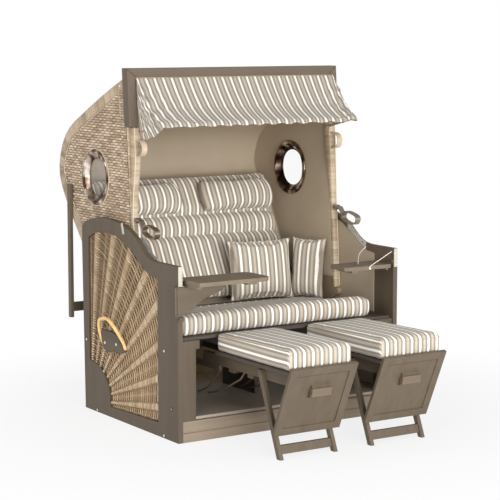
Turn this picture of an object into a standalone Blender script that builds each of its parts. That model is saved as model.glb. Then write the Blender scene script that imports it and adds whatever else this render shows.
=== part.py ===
"""Hooded two-seat beach chair with a reclining wicker hood, pull-out footrests and fold-up tables.

Metres, +Z up, the front of the chair faces -Y. The origin lies on the ground at the middle of
the bounding box. Each moving group hangs from an empty that stands on its joint axis.
"""
import math

import bmesh
import bpy
from mathutils import Matrix, Vector
from mathutils.bvhtree import BVHTree

# Overall sizes
BASE_SPAN = 1.177
SIDE_THICK = 0.023
SIDE_DEPTH = 0.883
SIDE_HEIGHT = 0.919
HOOD_SPAN = 1.116
HOOD_REACH = 1.163
HOOD_TOP = 1.600
Y_CENTRE = 0.2860

# Clearances
SEAT_GAP = 0.0003
RUN_GAP = 0.0010
CUT_OVER = 0.0100
WELD = 0.0010

# Base carcass
LINING_THICK = 0.0027
WICKER_SET_BACK = 0.0025
RAY_RISE = 0.0040
WICKER_THICK = 0.0080
RAY_COUNT = 8
BOLT_RADIUS = 0.0085
BOLT_RISE = 0.0018
PLINTH_DEPTH = 0.060
PLINTH_STEP = 0.008
PLINTH_LOW = 0.040
PLINTH_HIGH = 0.090
FLOOR_THICK = 0.012
STILE_THICK = 0.022
STILE_WIDTH = 0.070
CAP_WIDTH = 0.088
CAP_DROP = 0.0377
SEAT_UNDERSIDE = 0.4430
SEAT_BOARD_THICK = 0.0122
SEAT_BOARD_FRONT = 0.020
SEAT_BOARD_REAR = 0.610
SEAT_BOARD_NECK = 0.385
HOOD_SWEEP_GAP = 0.008
REAR_PANEL_THICK = 0.019
REAR_PANEL_FRONT = 0.8425
REAR_PANEL_HEIGHT = 0.360
REAR_PANEL_BORDER = 0.040
REAR_PANEL_SLOT = 0.011
REAR_SLOT_ROWS = 7
REAR_LEDGE = 0.020
DIVIDER_THICK = 0.020
DIVIDER_FRONT = 0.290
BEAM_FRONT = 0.570
BEAM_DEPTH = 0.030
BEAM_FOOT_WIDTH = 0.040
CLEAT_WIDTH = 0.030
GUIDE_HEIGHT = 0.025
GUIDE_WIDTH = 0.011
GUIDE_FRONT = 0.032
CORNER_CAP_WIDTH = 0.020
CORNER_CAP_HEIGHT = 0.086
CORNER_CAP_THICK = 0.0037
LATCH_THICK = 0.0027
LATCH_HOLE = 0.0045

# Carry handle
HANDLE_THICK = 0.0135
HANDLE_LENGTH = 0.232
HANDLE_HEIGHT = 0.092
HANDLE_FRONT = 0.458
HANDLE_FOOT = 0.310
CANE_RADIUS = 0.0065
CANE_STAND_OFF = 0.026

# Hood shell
PIVOT_Y = 0.420
PIVOT_Z = 0.520
PIVOT_PIN_RADIUS = 0.006
PIVOT_PIN_GAP = 0.0006
PIVOT_BLOCK = 0.090
PIVOT_BLOCK_THICK = 0.0083
PIVOT_BOSS_RADIUS = 0.018
PIVOT_BOSS_RISE = 0.0038
PIVOT_PIN_REACH = 0.014
HOOD_SIDE_THICK = 0.018
HOOD_LINING_THICK = 0.0097
HOOD_FRONT_Y = 0.412
HOOD_FRONT_Z = 0.540
HOOD_FRONT_LEAN = 0.075
HOOD_SHOULDER = 1.340
HOOD_ROOF_FRONT = 1.551
STILE_FACE = 0.050
STILE_DEEP = 0.020
STILE_ROUND = 0.006
FRAME_FACE = 0.046
FRAME_DEEP = 0.031
FRAME_BEAM = 0.041
FRAME_LIP = 0.019
FRAME_LIP_SET_BACK = 0.014
TRIM_WIDTH = 0.050
TRIM_RISE = 0.003
ROOF_THICK = 0.012
CEILING_DROP = 0.030
CEILING_THICK = 0.008
LINING_FOOT = 0.590
PORT_Y = 0.796
PORT_Z = 1.094
PORT_HOLE = 0.118
PORT_FLANGE = 0.127
PORT_EYE = 0.082
PORT_FLANGE_THICK = 0.0034
GLASS_THICK = 0.006
PULL_LOOP_WIDTH = 0.030
PULL_LOOP_THICK = 0.005
PULL_LOOP_INSET = 0.008

# Back and seat upholstery
BACK_FOOT_Y = 0.664
BACK_FOOT_Z = 0.496
BACK_HEAD_Y = 0.971
BACK_HEAD_Z = 1.058
BACK_CUSHION_THICK = 0.075
BACK_CUSHION_WIDTH = 1.030
BACK_BOARD_THICK = 0.010
SEAT_CUSHION_WIDTH = 1.030
SEAT_CUSHION_FRONT = 0.032
SEAT_CUSHION_REAR = 0.620
SEAT_CUSHION_THICK = 0.110
SEAT_CUSHION_FALL = 0.062
HEADREST_WIDTH = 0.420
HEADREST_HEIGHT = 0.197
HEADREST_THICK = 0.055
HEADREST_PLACE = 0.263
HEADREST_UP = 0.530
PILLOW_WIDTH = 0.345
PILLOW_HEIGHT = 0.275
PILLOW_THICK = 0.105
PILLOW_A_X = 0.217
PILLOW_A_Y = 0.640
PILLOW_A_TURN = 8
PILLOW_A_LEAN = 9
PILLOW_B_X = 0.4425
PILLOW_B_Y = 0.535
PILLOW_B_TURN = 60
PILLOW_B_LEAN = 7
PILLOW_B_WIDTH = 0.162
PILLOW_B_THICK = 0.078

# Rear support frame of the hood
LEG_X = 0.562
LEG_THICK = 0.018
LEG_Y = 1.036
LEG_DEPTH = 0.026
LEG_FOOT = 0.406
LEG_HEAD = 1.046
LEG_PIVOT_Z = 0.942
REAR_BAR_FOOT = 0.434
REAR_BAR_HEAD = 0.477
REAR_BAR_DEPTH = 0.020
REAR_PIN_RADIUS = 0.006
REAR_PIN_REACH = 0.0165

# Levers
LEVER_PIVOT_Y = 0.4225
LEVER_PIVOT_Z = 0.926
LEVER_INNER = 0.5305
LEVER_WIDTH = 0.028
LEVER_THICK = 0.005
LEVER_HUB = 0.0115
LEVER_PIN = 0.004
LEVER_BRACKET = 0.018

# Awning
BOW_PIVOT_Y = 0.461
BOW_PIVOT_Z = 1.312
BOW_BAR_Y = 0.250
BOW_BAR_Z = 1.360
BOW_ARM_X = 0.515
BOW_RADIUS = 0.006
BOW_HUB = 0.0075
BOW_PIN = 0.0035
BOW_LUG = 0.010
AWNING_WIDTH = 1.074
AWNING_THICK = 0.002
AWNING_TOP = 1.557
AWNING_HEM = 0.014
AWNING_WAVE = 0.0040

# Footrests
FOOT_X = 0.2345
FLAP_WIDTH = 0.335
FLAP_TOP_Y = -0.591
FLAP_TOP_Z = 0.398
FLAP_FOOT_Y = -0.457
FLAP_FOOT_Z = 0.099
FLAP_THICK = 0.015
FLAP_BORDER = 0.035
FLAP_RECESS = 0.004
GRIP_WIDTH = 0.095
GRIP_HEIGHT = 0.066
GRIP_THICK = 0.014
GRIP_DOWN = 0.115
DECK_TOP = 0.3857
DECK_THICK = 0.0117
DECK_REAR = 0.000
DECK_BATTEN_DEPTH = 0.040
RAIL_OUT = 0.1275
RAIL_THICK = 0.020
RAIL_TOP = 0.360
RAIL_HEIGHT = 0.044
RUNNER_END = 0.170
BATTEN_HEIGHT = 0.020
BATTEN_DEPTH = 0.045
BATTEN_FRONT_Y = -0.200
BATTEN_REAR_Y = -0.050
ROD_RADIUS = 0.004
FOOT_LEG_GAP = 0.001
FOOT_LEG_THICK = 0.018
FOOT_LEG_DEPTH = 0.024
FOOT_PIVOT_Y = -0.318
FOOT_PIVOT_Z = 0.343
FOOT_FLOOR_Y = -0.463
FOOT_LEG_OVER = 0.014
FOOT_PIN = 0.005
FOOT_BAR_Z = 0.038
FOOT_BAR_HEIGHT = 0.034
FOOT_BAR_THICK = 0.014
FOOT_CUSHION_FRONT = -0.566
FOOT_CUSHION_REAR = 0.012
FOOT_CUSHION_THICK = 0.112

# Tables and gusset bracket
TABLE_TOP = 0.711
TABLE_THICK = 0.0175
TABLE_INNER = 0.190
TABLE_HINGE = 0.560
TABLE_EDGE_GAP = 0.0075
TABLE_FRONT = -0.120
TABLE_REAR = 0.070
TABLE_CORNER = 0.022
TABLE_CLEAT_DROP = 0.012
TABLE_CLEAT_WIDTH = 0.020
TABLE_CLEAT_INNER_WIDTH = 0.050
TABLE_CLEAT_X = 0.540
TABLE_CLEAT_INNER_X = 0.275
TABLE_LUG = 0.0045
TABLE_LUG_HALF = 0.005
TABLE_PIN = 0.002
TABLE_BARREL = 0.0046
BRACKET_THICK = 0.0180
BRACKET_TOP = 0.6812
BRACKET_FOOT = 0.557
BRACKET_REACH = 0.358
BRACKET_AXIS_X = 0.604
BRACKET_AXIS_Y = -0.010
BRACKET_KNUCKLE = 0.005
BRACKET_PIN = 0.002
HINGE_LEAF = 0.003
HINGE_LEAF_DEPTH = 0.022
HINGE_TAB = 0.004
STOP_BLOCK_HEIGHT = 0.018
STOP_BLOCK_DEPTH = 0.012
CORD_RADIUS = 0.0016
CORD_KNOB = 0.006
CORD_FRONT_Z = 0.756
CORD_FRONT_Y = 0.006
CORD_REAR_Z = 0.727
CORD_REAR_Y = 0.204
CORD_FRONT_KNOB_X = 0.330
CORD_REAR_KNOB_X = 0.371

# Outlines as shares of the sizes they follow
SIDE_OUTLINE_SHARES = (
    (0, 0), (0.980, 0), (1, 0.864), (0.995, 0.941), (0.963, 0.964), (0.905, 0.980),
    (0.793, 1), (0.684, 0.999), (0.576, 0.987), (0.472, 0.958), (0.410, 0.927),
    (0.370, 0.898), (0.330, 0.870), (0.300, 0.854), (0.269, 0.843), (0.220, 0.837),
    (0, 0.837),
)
OPENING_SHARES = (
    (0.198, 0.067), (0.694, 0.051), (0.703, 0.065), (0.702, 0.111), (0.724, 0.159),
    (0.755, 0.199), (0.811, 0.236), (0.866, 0.253), (0.929, 0.259), (0.930, 0.887),
    (0.862, 0.913), (0.784, 0.928), (0.685, 0.929), (0.578, 0.913), (0.494, 0.879),
    (0.422, 0.843), (0.371, 0.813), (0.321, 0.784), (0.271, 0.766), (0.196, 0.761),
)
RAY_HUB_SHARES = (0.9264, 0.0435)
BASE_LINING_SHARES = (
    (0.165, 0.1153), (0.949, 0.1153), (0.949, 0.925), (0.906, 0.958), (0.793, 0.980),
    (0.684, 0.979), (0.576, 0.964), (0.506, 0.941), (0.451, 0.925), (0.368, 0.880),
    (0.294, 0.836), (0.240, 0.807), (0.165, 0.796),
)
LATCH_SHARES = (
    (0.240, 0.810), (0.294, 0.839), (0.368, 0.8835), (0.404, 0.903), (0.404, 0.944),
    (0.368, 0.9195), (0.323, 0.890), (0.283, 0.863), (0.240, 0.8455),
)
LATCH_HOLE_SHARES = ((0.272, 0.8433), (0.323, 0.8745), (0.374, 0.9075))
BOLT_SHARES = ((0.958, 0.358), (0.136, 0.422), (0.141, 0.012), (0.845, 0.010), (0.066, 0.153))
HANDLE_PLATE_SHARES = (
    (0.828, 0), (1, 0.674), (0.974, 0.957), (0.612, 1), (0.293, 0.902), (0.121, 0.522),
    (0, 0.250), (0.181, 0.087), (0.556, 0.022),
)
HANDLE_BOLT_SHARES = ((0.802, 0.38), (0.336, 0.467))
CANE_SHARES = (
    (0.03, 0.850, 0.300), (0.20, 0.965, 0.620), (0.62, 0.990, 1.130), (0.95, 0.900, 1.550),
    (1, 0.720, 1.720), (1, 0.520, 1.700), (0.93, 0.330, 1.450), (0.58, 0.180, 1.000),
    (0.20, 0.110, 0.650), (0.03, 0.120, 0.380),
)
HOOD_BACK_SHARES = (
    (0.558, 0.937), (0.641, 0.911), (0.727, 0.883), (0.814, 0.853), (0.859, 0.838),
    (0.905, 0.8175), (0.9415, 0.7956), (0.970, 0.7675), (0.990, 0.734), (1, 0.703),
    (0.9966, 0.673), (0.979, 0.644), (0.948, 0.610), (0.910, 0.575), (0.870, 0.540),
    (0.810, 0.4906), (0.749, 0.4094), (0.648, 0.275),
)
CEILING_POINTS = 14
HOOD_FOOT_SHARES = ((0.602, 0.2594), (0.516, 0.2687), (0.3955, 0.3062), (0.3705, 0.3165))
PULL_LOOP_SHARES = (
    (-0.06, 0.965), (0.30, 0.955), (0.62, 0.86), (0.90, 0.66), (1, 0.45), (0.88, 0.24),
    (0.45, 0.10), (-0.06, 0.02),
)
PULL_LOOP_FOOT = 1.208
PULL_LOOP_HEIGHT = 0.078
PULL_LOOP_REACH = 0.080
LEVER_REACH = 0.174
LEVER_HEIGHT = 0.076
LEVER_ARM_SHARES = ((0.05, 0.01), (0.15, 0.05), (0.23, -0.12), (0.30, -0.33), (0.36, -0.47))
LEVER_LOOP_SHARES = (
    (0.34, -0.52), (0.39, -0.32), (0.51, -0.17), (0.74, -0.24), (0.93, -0.36), (1, -0.50),
    (0.985, -0.68), (0.91, -0.87), (0.74, -0.90), (0.55, -0.82), (0.40, -0.70),
)
AWNING_DROP_SHARES = (
    (0, 0), (0.120, 0.170), (0.235, 0.330), (0.360, 0.480), (0.520, 0.660), (0.700, 0.790),
    (0.880, 0.890), (1, 0.940),
)
BRACKET_SHARES = (
    (0, 1), (1, 1), (0.930, 0.800), (0.705, 0.652), (0.508, 0.524), (0.412, 0.379),
    (0.333, 0.234), (0.158, 0.040), (0, 0),
)
ROD_REAR_SHARES = ((1, -0.94), (0.62, -0.70), (0.08, 0.04), (0.03, 0.12))
ROD_FRONT_SHARES = ((0.64, -0.88), (0.30, -0.75), (-0.47, -0.24), (-0.62, 0.08))
ROD_REACH = 0.240
ROD_DROP = 0.165

# Worked-out places
SIDE_OUTER = BASE_SPAN / 2
SIDE_INNER = SIDE_OUTER - SIDE_THICK
INNER_FIT = SIDE_INNER - SEAT_GAP
LINING_OUTER = INNER_FIT
LINING_INNER = LINING_OUTER - LINING_THICK
LINED_FIT = LINING_INNER - SEAT_GAP
HOOD_OUTER = HOOD_SPAN / 2
HOOD_WALL = HOOD_OUTER - HOOD_SIDE_THICK
HOOD_LINING_OUTER = HOOD_WALL - SEAT_GAP
HOOD_INNER = HOOD_LINING_OUTER - HOOD_LINING_THICK
SWEPT_FIT = HOOD_INNER - HOOD_SWEEP_GAP
SEAT_UNDER_FIT = SEAT_UNDERSIDE - SEAT_GAP
SEAT_BOARD_TOP = SEAT_UNDERSIDE + SEAT_BOARD_THICK
FLOOR_FOOT = PLINTH_HIGH + SEAT_GAP
FLOOR_TOP = FLOOR_FOOT + FLOOR_THICK
CAP_FOOT = SEAT_UNDER_FIT - CAP_DROP
BACK_VECTOR = Vector((0, BACK_HEAD_Y - BACK_FOOT_Y, BACK_HEAD_Z - BACK_FOOT_Z))
BACK_LENGTH = BACK_VECTOR.length
BACK_UP = BACK_VECTOR.normalized()
BACK_OUT = Vector((0, -BACK_UP.z, BACK_UP.y))
BACK_FOOT = Vector((0, BACK_FOOT_Y, BACK_FOOT_Z))
FLAP_VECTOR = Vector((0, FLAP_TOP_Y - FLAP_FOOT_Y, FLAP_TOP_Z - FLAP_FOOT_Z))
FLAP_UP = FLAP_VECTOR.normalized()
FLAP_IN = Vector((0, FLAP_UP.z, -FLAP_UP.y))
RAIL_FOOT = RAIL_TOP - RAIL_HEIGHT
GUIDE_TOP = RAIL_FOOT - SEAT_GAP

ROUND_STEPS = 14
PORT_STEPS = 28
SMOOTH_ANGLE = math.radians(40)

for item in list(bpy.data.objects):
    bpy.data.objects.remove(item, do_unlink=True)

bodies = {}
pivots = {}


def add_body(name, parent, pivot):
    """Empty that stands on the joint axis of one moving group."""
    empty = bpy.data.objects.new(name, None)
    bpy.context.scene.collection.objects.link(empty)
    here = Vector(pivot)
    if parent is None:
        empty.location = Vector((0, -Y_CENTRE, 0))
        pivots[name] = Vector((0, 0, 0))
    else:
        empty.parent = bodies[parent]
        empty.location = here - pivots[parent]
        pivots[name] = here
    bodies[name] = empty
    return empty


def make_material(name, colour, metallic, roughness):
    """Principled material of one finish."""
    found = bpy.data.materials.get(name)
    if found is not None:
        return found
    material = bpy.data.materials.new(name)
    material.use_nodes = True
    shader = material.node_tree.nodes["Principled BSDF"]
    shader.inputs["Base Color"].default_value = (*colour, 1)
    shader.inputs["Metallic"].default_value = metallic
    shader.inputs["Roughness"].default_value = roughness
    material.diffuse_color = (*colour, 1)
    return material


FINISHES = {
    "side_wood": ((0.145, 0.118, 0.090), 0, 0.60),
    "front_wood": ((0.235, 0.187, 0.140), 0, 0.55),
    "lining_board": ((0.275, 0.215, 0.150), 0, 0.65),
    "dark_board": ((0.060, 0.045, 0.035), 0, 0.70),
    "wicker": ((0.420, 0.320, 0.205), 0, 0.60),
    "wicker_trim": ((0.640, 0.470, 0.270), 0, 0.55),
    "stripe_cloth": ((0.560, 0.465, 0.370), 0, 0.90),
    "cane": ((0.870, 0.540, 0.210), 0, 0.45),
    "zinc_steel": ((0.620, 0.600, 0.560), 1, 0.35),
    "chrome": ((0.800, 0.790, 0.770), 1, 0.08),
    "aluminium": ((0.780, 0.780, 0.770), 1, 0.40),
    "pale_glass": ((0.850, 0.880, 0.880), 0, 0.05),
    "white_cord": ((0.850, 0.830, 0.780), 0, 0.70),
}


def mesh_object(name, geometry):
    """Object from a bmesh in design coordinates."""
    bmesh.ops.recalc_face_normals(geometry, faces=geometry.faces)
    mesh = bpy.data.meshes.new(name)
    geometry.to_mesh(mesh)
    geometry.free()
    thing = bpy.data.objects.new(name, mesh)
    bpy.context.scene.collection.objects.link(thing)
    return thing


def drop(thing):
    """Remove a helper object and its mesh."""
    mesh = thing.data
    bpy.data.objects.remove(thing, do_unlink=True)
    bpy.data.meshes.remove(mesh)


def combine(base, tools, operation, solver="EXACT"):
    """Boolean of a piece with helper pieces, which are used up."""
    for tool in tools:
        modifier = base.modifiers.new("combine", "BOOLEAN")
        modifier.solver = solver
        modifier.operation = operation
        modifier.object = tool
    view = bpy.context.evaluated_depsgraph_get()
    result = bpy.data.meshes.new_from_object(base.evaluated_get(view))
    old = base.data
    base.modifiers.clear()
    base.data = result
    bpy.data.meshes.remove(old)
    for tool in tools:
        drop(tool)
    return base


def fuse(base, *tools):
    return combine(base, list(tools), "UNION")


def cut(base, *tools):
    return combine(base, list(tools), "DIFFERENCE")


def finish(thing, name, body, finish_name, smooth=True):
    """Name a finished piece, hang it from its body and give it its finish."""
    mesh = thing.data
    tidy = bmesh.new()
    tidy.from_mesh(mesh)
    bmesh.ops.remove_doubles(tidy, verts=tidy.verts, dist=SEAT_GAP / 10)
    bmesh.ops.triangulate(tidy, faces=[f for f in tidy.faces if len(f.verts) > 4])
    bmesh.ops.recalc_face_normals(tidy, faces=tidy.faces)
    tidy.to_mesh(mesh)
    tidy.free()
    mesh.transform(Matrix.Translation(-pivots[body]))
    mesh.materials.clear()
    colour, metallic, roughness = FINISHES[finish_name]
    mesh.materials.append(make_material(finish_name, colour, metallic, roughness))
    if smooth:
        mesh.shade_smooth()
        mesh.set_sharp_from_angle(angle=SMOOTH_ANGLE)
    thing.name = name
    mesh.name = name
    thing.parent = bodies[body]
    return thing


def prism(points, axis, low, high):
    """Closed prism of a flat outline. The outline runs in the two axes other than the named one."""
    geometry = bmesh.new()
    first = []
    second = []
    for u, v in points:
        for level, ring in ((low, first), (high, second)):
            place = {"x": (level, u, v), "y": (u, level, v), "z": (u, v, level)}[axis]
            ring.append(geometry.verts.new(place))
    geometry.faces.new(first)
    geometry.faces.new(list(reversed(second)))
    count = len(points)
    for index in range(count):
        after = (index + 1) % count
        geometry.faces.new((first[index], second[index], second[after], first[after]))
    return mesh_object("prism", geometry)


def box(x_pair, y_pair, z_pair, edge=0):
    """Box between pairs of limits, its edges broken by a small bevel if asked."""
    x_low, x_high = sorted(x_pair)
    y_low, y_high = sorted(y_pair)
    outline = ((x_low, y_low), (x_high, y_low), (x_high, y_high), (x_low, y_high))
    thing = prism(outline, "z", min(z_pair), max(z_pair))
    if edge:
        soften(thing, edge)
    return thing


def soften(thing, width, segments=1):
    """Bevel the sharp edges of a helper piece."""
    geometry = bmesh.new()
    geometry.from_mesh(thing.data)
    sharp = [e for e in geometry.edges if e.calc_face_angle(0) > SMOOTH_ANGLE]
    bmesh.ops.bevel(geometry, geom=sharp, offset=width, segments=segments, affect="EDGES",
                    clamp_overlap=True)
    geometry.to_mesh(thing.data)
    geometry.free()
    return thing


def rod(start, end, radius, steps=ROUND_STEPS):
    """Straight round bar between two points."""
    return sweep([Vector(start), Vector(end)], circle(radius, steps))


def circle(radius, steps):
    """Points of a circle, as the section of a sweep."""
    turns = [2 * math.pi * (k + 0.5) / steps for k in range(steps)]
    return [(radius * math.cos(t), radius * math.sin(t)) for t in turns]


def strip(width, thick):
    """Corners of a flat band, as the section of a sweep."""
    return [(-width / 2, -thick / 2), (width / 2, -thick / 2), (width / 2, thick / 2),
            (-width / 2, thick / 2)]


def sweep(path, section, side=None, closed=False):
    """Carry a section along a path. Its first axis stays along the side direction."""
    points = [Vector(p) for p in path]
    count = len(points)
    if side is None:
        along = (points[-1] - points[0]).normalized()
        side = Vector((0, 0, 1)) if abs(along.z) < abs(along.x) + abs(along.y) else Vector((1, 0, 0))
    geometry = bmesh.new()
    rings = []
    for index, point in enumerate(points):
        before = points[index - 1] if index or closed else point
        after = points[(index + 1) % count] if index + 1 < count or closed else point
        tangent = (after - before).normalized()
        across = (Vector(side) - tangent * tangent.dot(Vector(side))).normalized()
        normal = tangent.cross(across)
        stretch = 1
        if before != point and after != point:
            turn = (point - before).normalized().dot((after - point).normalized())
            stretch = 1 / max(math.sqrt((1 + turn) / 2), math.sqrt(1 / 2))
        rings.append([geometry.verts.new(point + across * a + normal * b * stretch)
                      for a, b in section])
    size = len(section)
    pairs = count if closed else count - 1
    for index in range(pairs):
        one = rings[index]
        two = rings[(index + 1) % count]
        for k in range(size):
            nxt = (k + 1) % size
            geometry.faces.new((one[k], one[nxt], two[nxt], two[k]))
    if not closed:
        geometry.faces.new(list(reversed(rings[0])))
        geometry.faces.new(rings[-1])
    return mesh_object("sweep", geometry)


def curve_through(points, steps, closed=False):
    """Points of a smooth curve that passes through the given ones."""
    places = [Vector(p) for p in points]
    count = len(places)
    result = []
    last = count if closed else count - 1
    for index in range(last):
        one = places[index]
        two = places[(index + 1) % count]
        before = places[index - 1] if index or closed else one
        after = places[(index + 2) % count] if closed or index + 2 < count else two
        for step in range(steps):
            t = step / steps
            blend = (one * 2 + (two - before) * t + (before * 2 - one * 5 + two * 4 - after) * t ** 2
                     + (one * 3 - before - two * 3 + after) * t ** 3)
            result.append(blend / 2)
    if not closed:
        result.append(places[-1])
    return result


def turned(profile, centre, axis_sign, steps):
    """Ring turned about an axis along X, from (x, radius) pairs."""
    geometry = bmesh.new()
    rings = []
    for k in range(steps):
        angle = 2 * math.pi * k / steps
        rings.append([geometry.verts.new((axis_sign * x, centre[0] + r * math.cos(angle),
                                          centre[1] + r * math.sin(angle)))
                      for x, r in profile])
    size = len(profile)
    for k in range(steps):
        one = rings[k]
        two = rings[(k + 1) % steps]
        for index in range(size):
            nxt = (index + 1) % size
            geometry.faces.new((one[index], one[nxt], two[nxt], two[index]))
    return mesh_object("turned", geometry)


def scaled(shares, wide, high, start_u=0, start_v=0):
    """Outline points from shares of a width and a height."""
    return [(start_u + u * wide, start_v + v * high) for u, v in shares]


def inset(points, distance):
    """Open outline moved sideways to the right of its direction by a distance."""
    result = []
    count = len(points)
    for index, point in enumerate(points):
        before = Vector(points[max(index - 1, 0)])
        after = Vector(points[min(index + 1, count - 1)])
        along = (after - before).normalized()
        result.append((point[0] + along.y * distance, point[1] - along.x * distance))
    return result


def hood_front(z):
    """Y of the hood's front plane at a height."""
    return HOOD_FRONT_Y + HOOD_FRONT_LEAN * (z - HOOD_FRONT_Z)


def lean_back(thing):
    """Shear an upright piece onto the hood's front plane."""
    for vertex in thing.data.vertices:
        vertex.co.y += hood_front(vertex.co.z)
    return thing


def soft_block(half, rounding, counts, shape=None):
    """Closed padded block about the origin with rounded edges, shaped point by point."""
    geometry = bmesh.new()
    made = {}

    def axis_places(half_size, count):
        core = half_size - rounding
        places = [-half_size, -half_size + rounding * 0.35]
        places += [-core + 2 * core * k / (count - 1) for k in range(count)] if count > 1 else [0]
        places += [half_size - rounding * 0.35, half_size]
        return places

    grids = [axis_places(half[a], counts[a]) for a in range(3)]

    def vertex(i, j, k):
        key = (i, j, k)
        if key in made:
            return made[key]
        raw = Vector((grids[0][i], grids[1][j], grids[2][k]))
        core = Vector([max(-half[a] + rounding, min(half[a] - rounding, raw[a]))
                       for a in range(3)])
        away = raw - core
        place = core + away.normalized() * rounding if away.length > 0 else raw
        if shape is not None:
            place = shape(place)
        made[key] = geometry.verts.new(place)
        return made[key]

    last = [len(g) - 1 for g in grids]
    for a in range(3):
        b = (a + 1) % 3
        c = (a + 2) % 3
        for side in (0, last[a]):
            for p in range(last[b]):
                for q in range(last[c]):
                    corners = []
                    for dp, dq in ((0, 0), (1, 0), (1, 1), (0, 1)):
                        index = [0, 0, 0]
                        index[a] = side
                        index[b] = p + dp
                        index[c] = q + dq
                        corners.append(vertex(*index))
                    geometry.faces.new(corners)
    return mesh_object("soft", geometry)


def pillow_shape(half, crown, draw, grooves=(), groove_depth=0, groove_width=1):
    """Crown, drawn-in sides and cross channels of a cushion."""
    def shape(place):
        u = place.x / half[0]
        v = place.y / half[1]
        w = place.z / half[2]
        swell = crown * (1 - u * u) * (1 - v * v)
        x = place.x - draw * u * (1 - v * v)
        y = place.y - draw * v * (1 - u * u)
        dip = 0
        for groove in grooves:
            dip += groove_depth * math.exp(-((place.y - groove) / groove_width) ** 2)
        z = place.z + w * swell - (dip * w if w > 0 else 0)
        return Vector((x, y, z))
    return shape


def stand(thing, origin, x_axis, y_axis, z_axis):
    """Place a piece made about the origin along three directions."""
    turn = Matrix((x_axis, y_axis, z_axis)).transposed().to_4x4()
    thing.data.transform(Matrix.Translation(Vector(origin)) @ turn)
    return thing


def tree_of(thing):
    """Search tree of a helper piece in design coordinates."""
    mesh = thing.data
    return BVHTree.FromPolygons([v.co for v in mesh.vertices], [tuple(p.vertices) for p in mesh.polygons])


def settle(thing, base, way):
    """Move a soft piece along a direction until it all but touches what carries it."""
    way = Vector(way).normalized()
    thing_tree = tree_of(thing)
    base_tree = tree_of(base)
    gaps = []
    for mesh, tree, look in ((thing.data, base_tree, way), (base.data, thing_tree, -way)):
        for vertex in mesh.vertices:
            distance = tree.ray_cast(vertex.co, look)[3]
            if distance is not None:
                gaps.append(distance)
        for edge in mesh.edges:
            one, two = (mesh.vertices[k].co for k in edge.vertices)
            distance = tree.ray_cast((one + two) / 2, look)[3]
            if distance is not None:
                gaps.append(distance)
    thing.data.transform(Matrix.Translation(way * (min(gaps) - SEAT_GAP)))
    return thing


SIDES = (("left", -1), ("right", 1))

add_body("base", None, (0, 0, 0))
add_body("hood", "base", (0, PIVOT_Y, PIVOT_Z))
add_body("rear_support", "hood", (0, LEG_Y, LEG_PIVOT_Z))
add_body("awning_hinge", "hood", (0, BOW_PIVOT_Y, BOW_PIVOT_Z))
add_body("bracket_hinge", "base", (-BRACKET_AXIS_X, BRACKET_AXIS_Y, BRACKET_TOP))
for side_name, sign in SIDES:
    lever_x = sign * (LEVER_INNER + LEVER_WIDTH / 2)
    add_body("lever_hinge_" + side_name, "hood", (lever_x, LEVER_PIVOT_Y, LEVER_PIVOT_Z))
    add_body("footrest_slide_" + side_name, "base", (sign * FOOT_X, 0, RAIL_FOOT))
    add_body("leg_hinge_" + side_name, "footrest_slide_" + side_name,
             (sign * FOOT_X, FOOT_PIVOT_Y, FOOT_PIVOT_Z))
    add_body("table_hinge_" + side_name, "base", (sign * TABLE_HINGE, TABLE_REAR / 2, TABLE_TOP))

# Base carcass
side_points = scaled(SIDE_OUTLINE_SHARES, SIDE_DEPTH, SIDE_HEIGHT)
opening_points = scaled(OPENING_SHARES, SIDE_DEPTH, SIDE_HEIGHT)
lining_points = scaled(BASE_LINING_SHARES, SIDE_DEPTH, SIDE_HEIGHT)
latch_points = scaled(LATCH_SHARES, SIDE_DEPTH, SIDE_HEIGHT)
hub_y = RAY_HUB_SHARES[0] * SIDE_DEPTH
hub_z = RAY_HUB_SHARES[1] * SIDE_HEIGHT
LUG_INNER = TABLE_HINGE - TABLE_LUG


def ray_hit(angle, points, gap):
    """Distances from the hub at which a ray meets a closed outline, nearest and farthest."""
    dy = math.cos(angle)
    dz = math.sin(angle)
    hits = []
    count = len(points)
    for index in range(count):
        ay, az = points[index]
        by, bz = points[(index + 1) % count]
        ey = by - ay
        ez = bz - az
        bottom = dy * ez - dz * ey
        if abs(bottom) < SEAT_GAP ** 2:
            continue
        t = ((ay - hub_y) * ez - (az - hub_z) * ey) / bottom
        s = ((ay - hub_y) * dz - (az - hub_z) * dy) / bottom
        if 0 <= s <= 1 and t > 0:
            hits.append(t)
    return min(hits) + gap, max(hits) - gap


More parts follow.
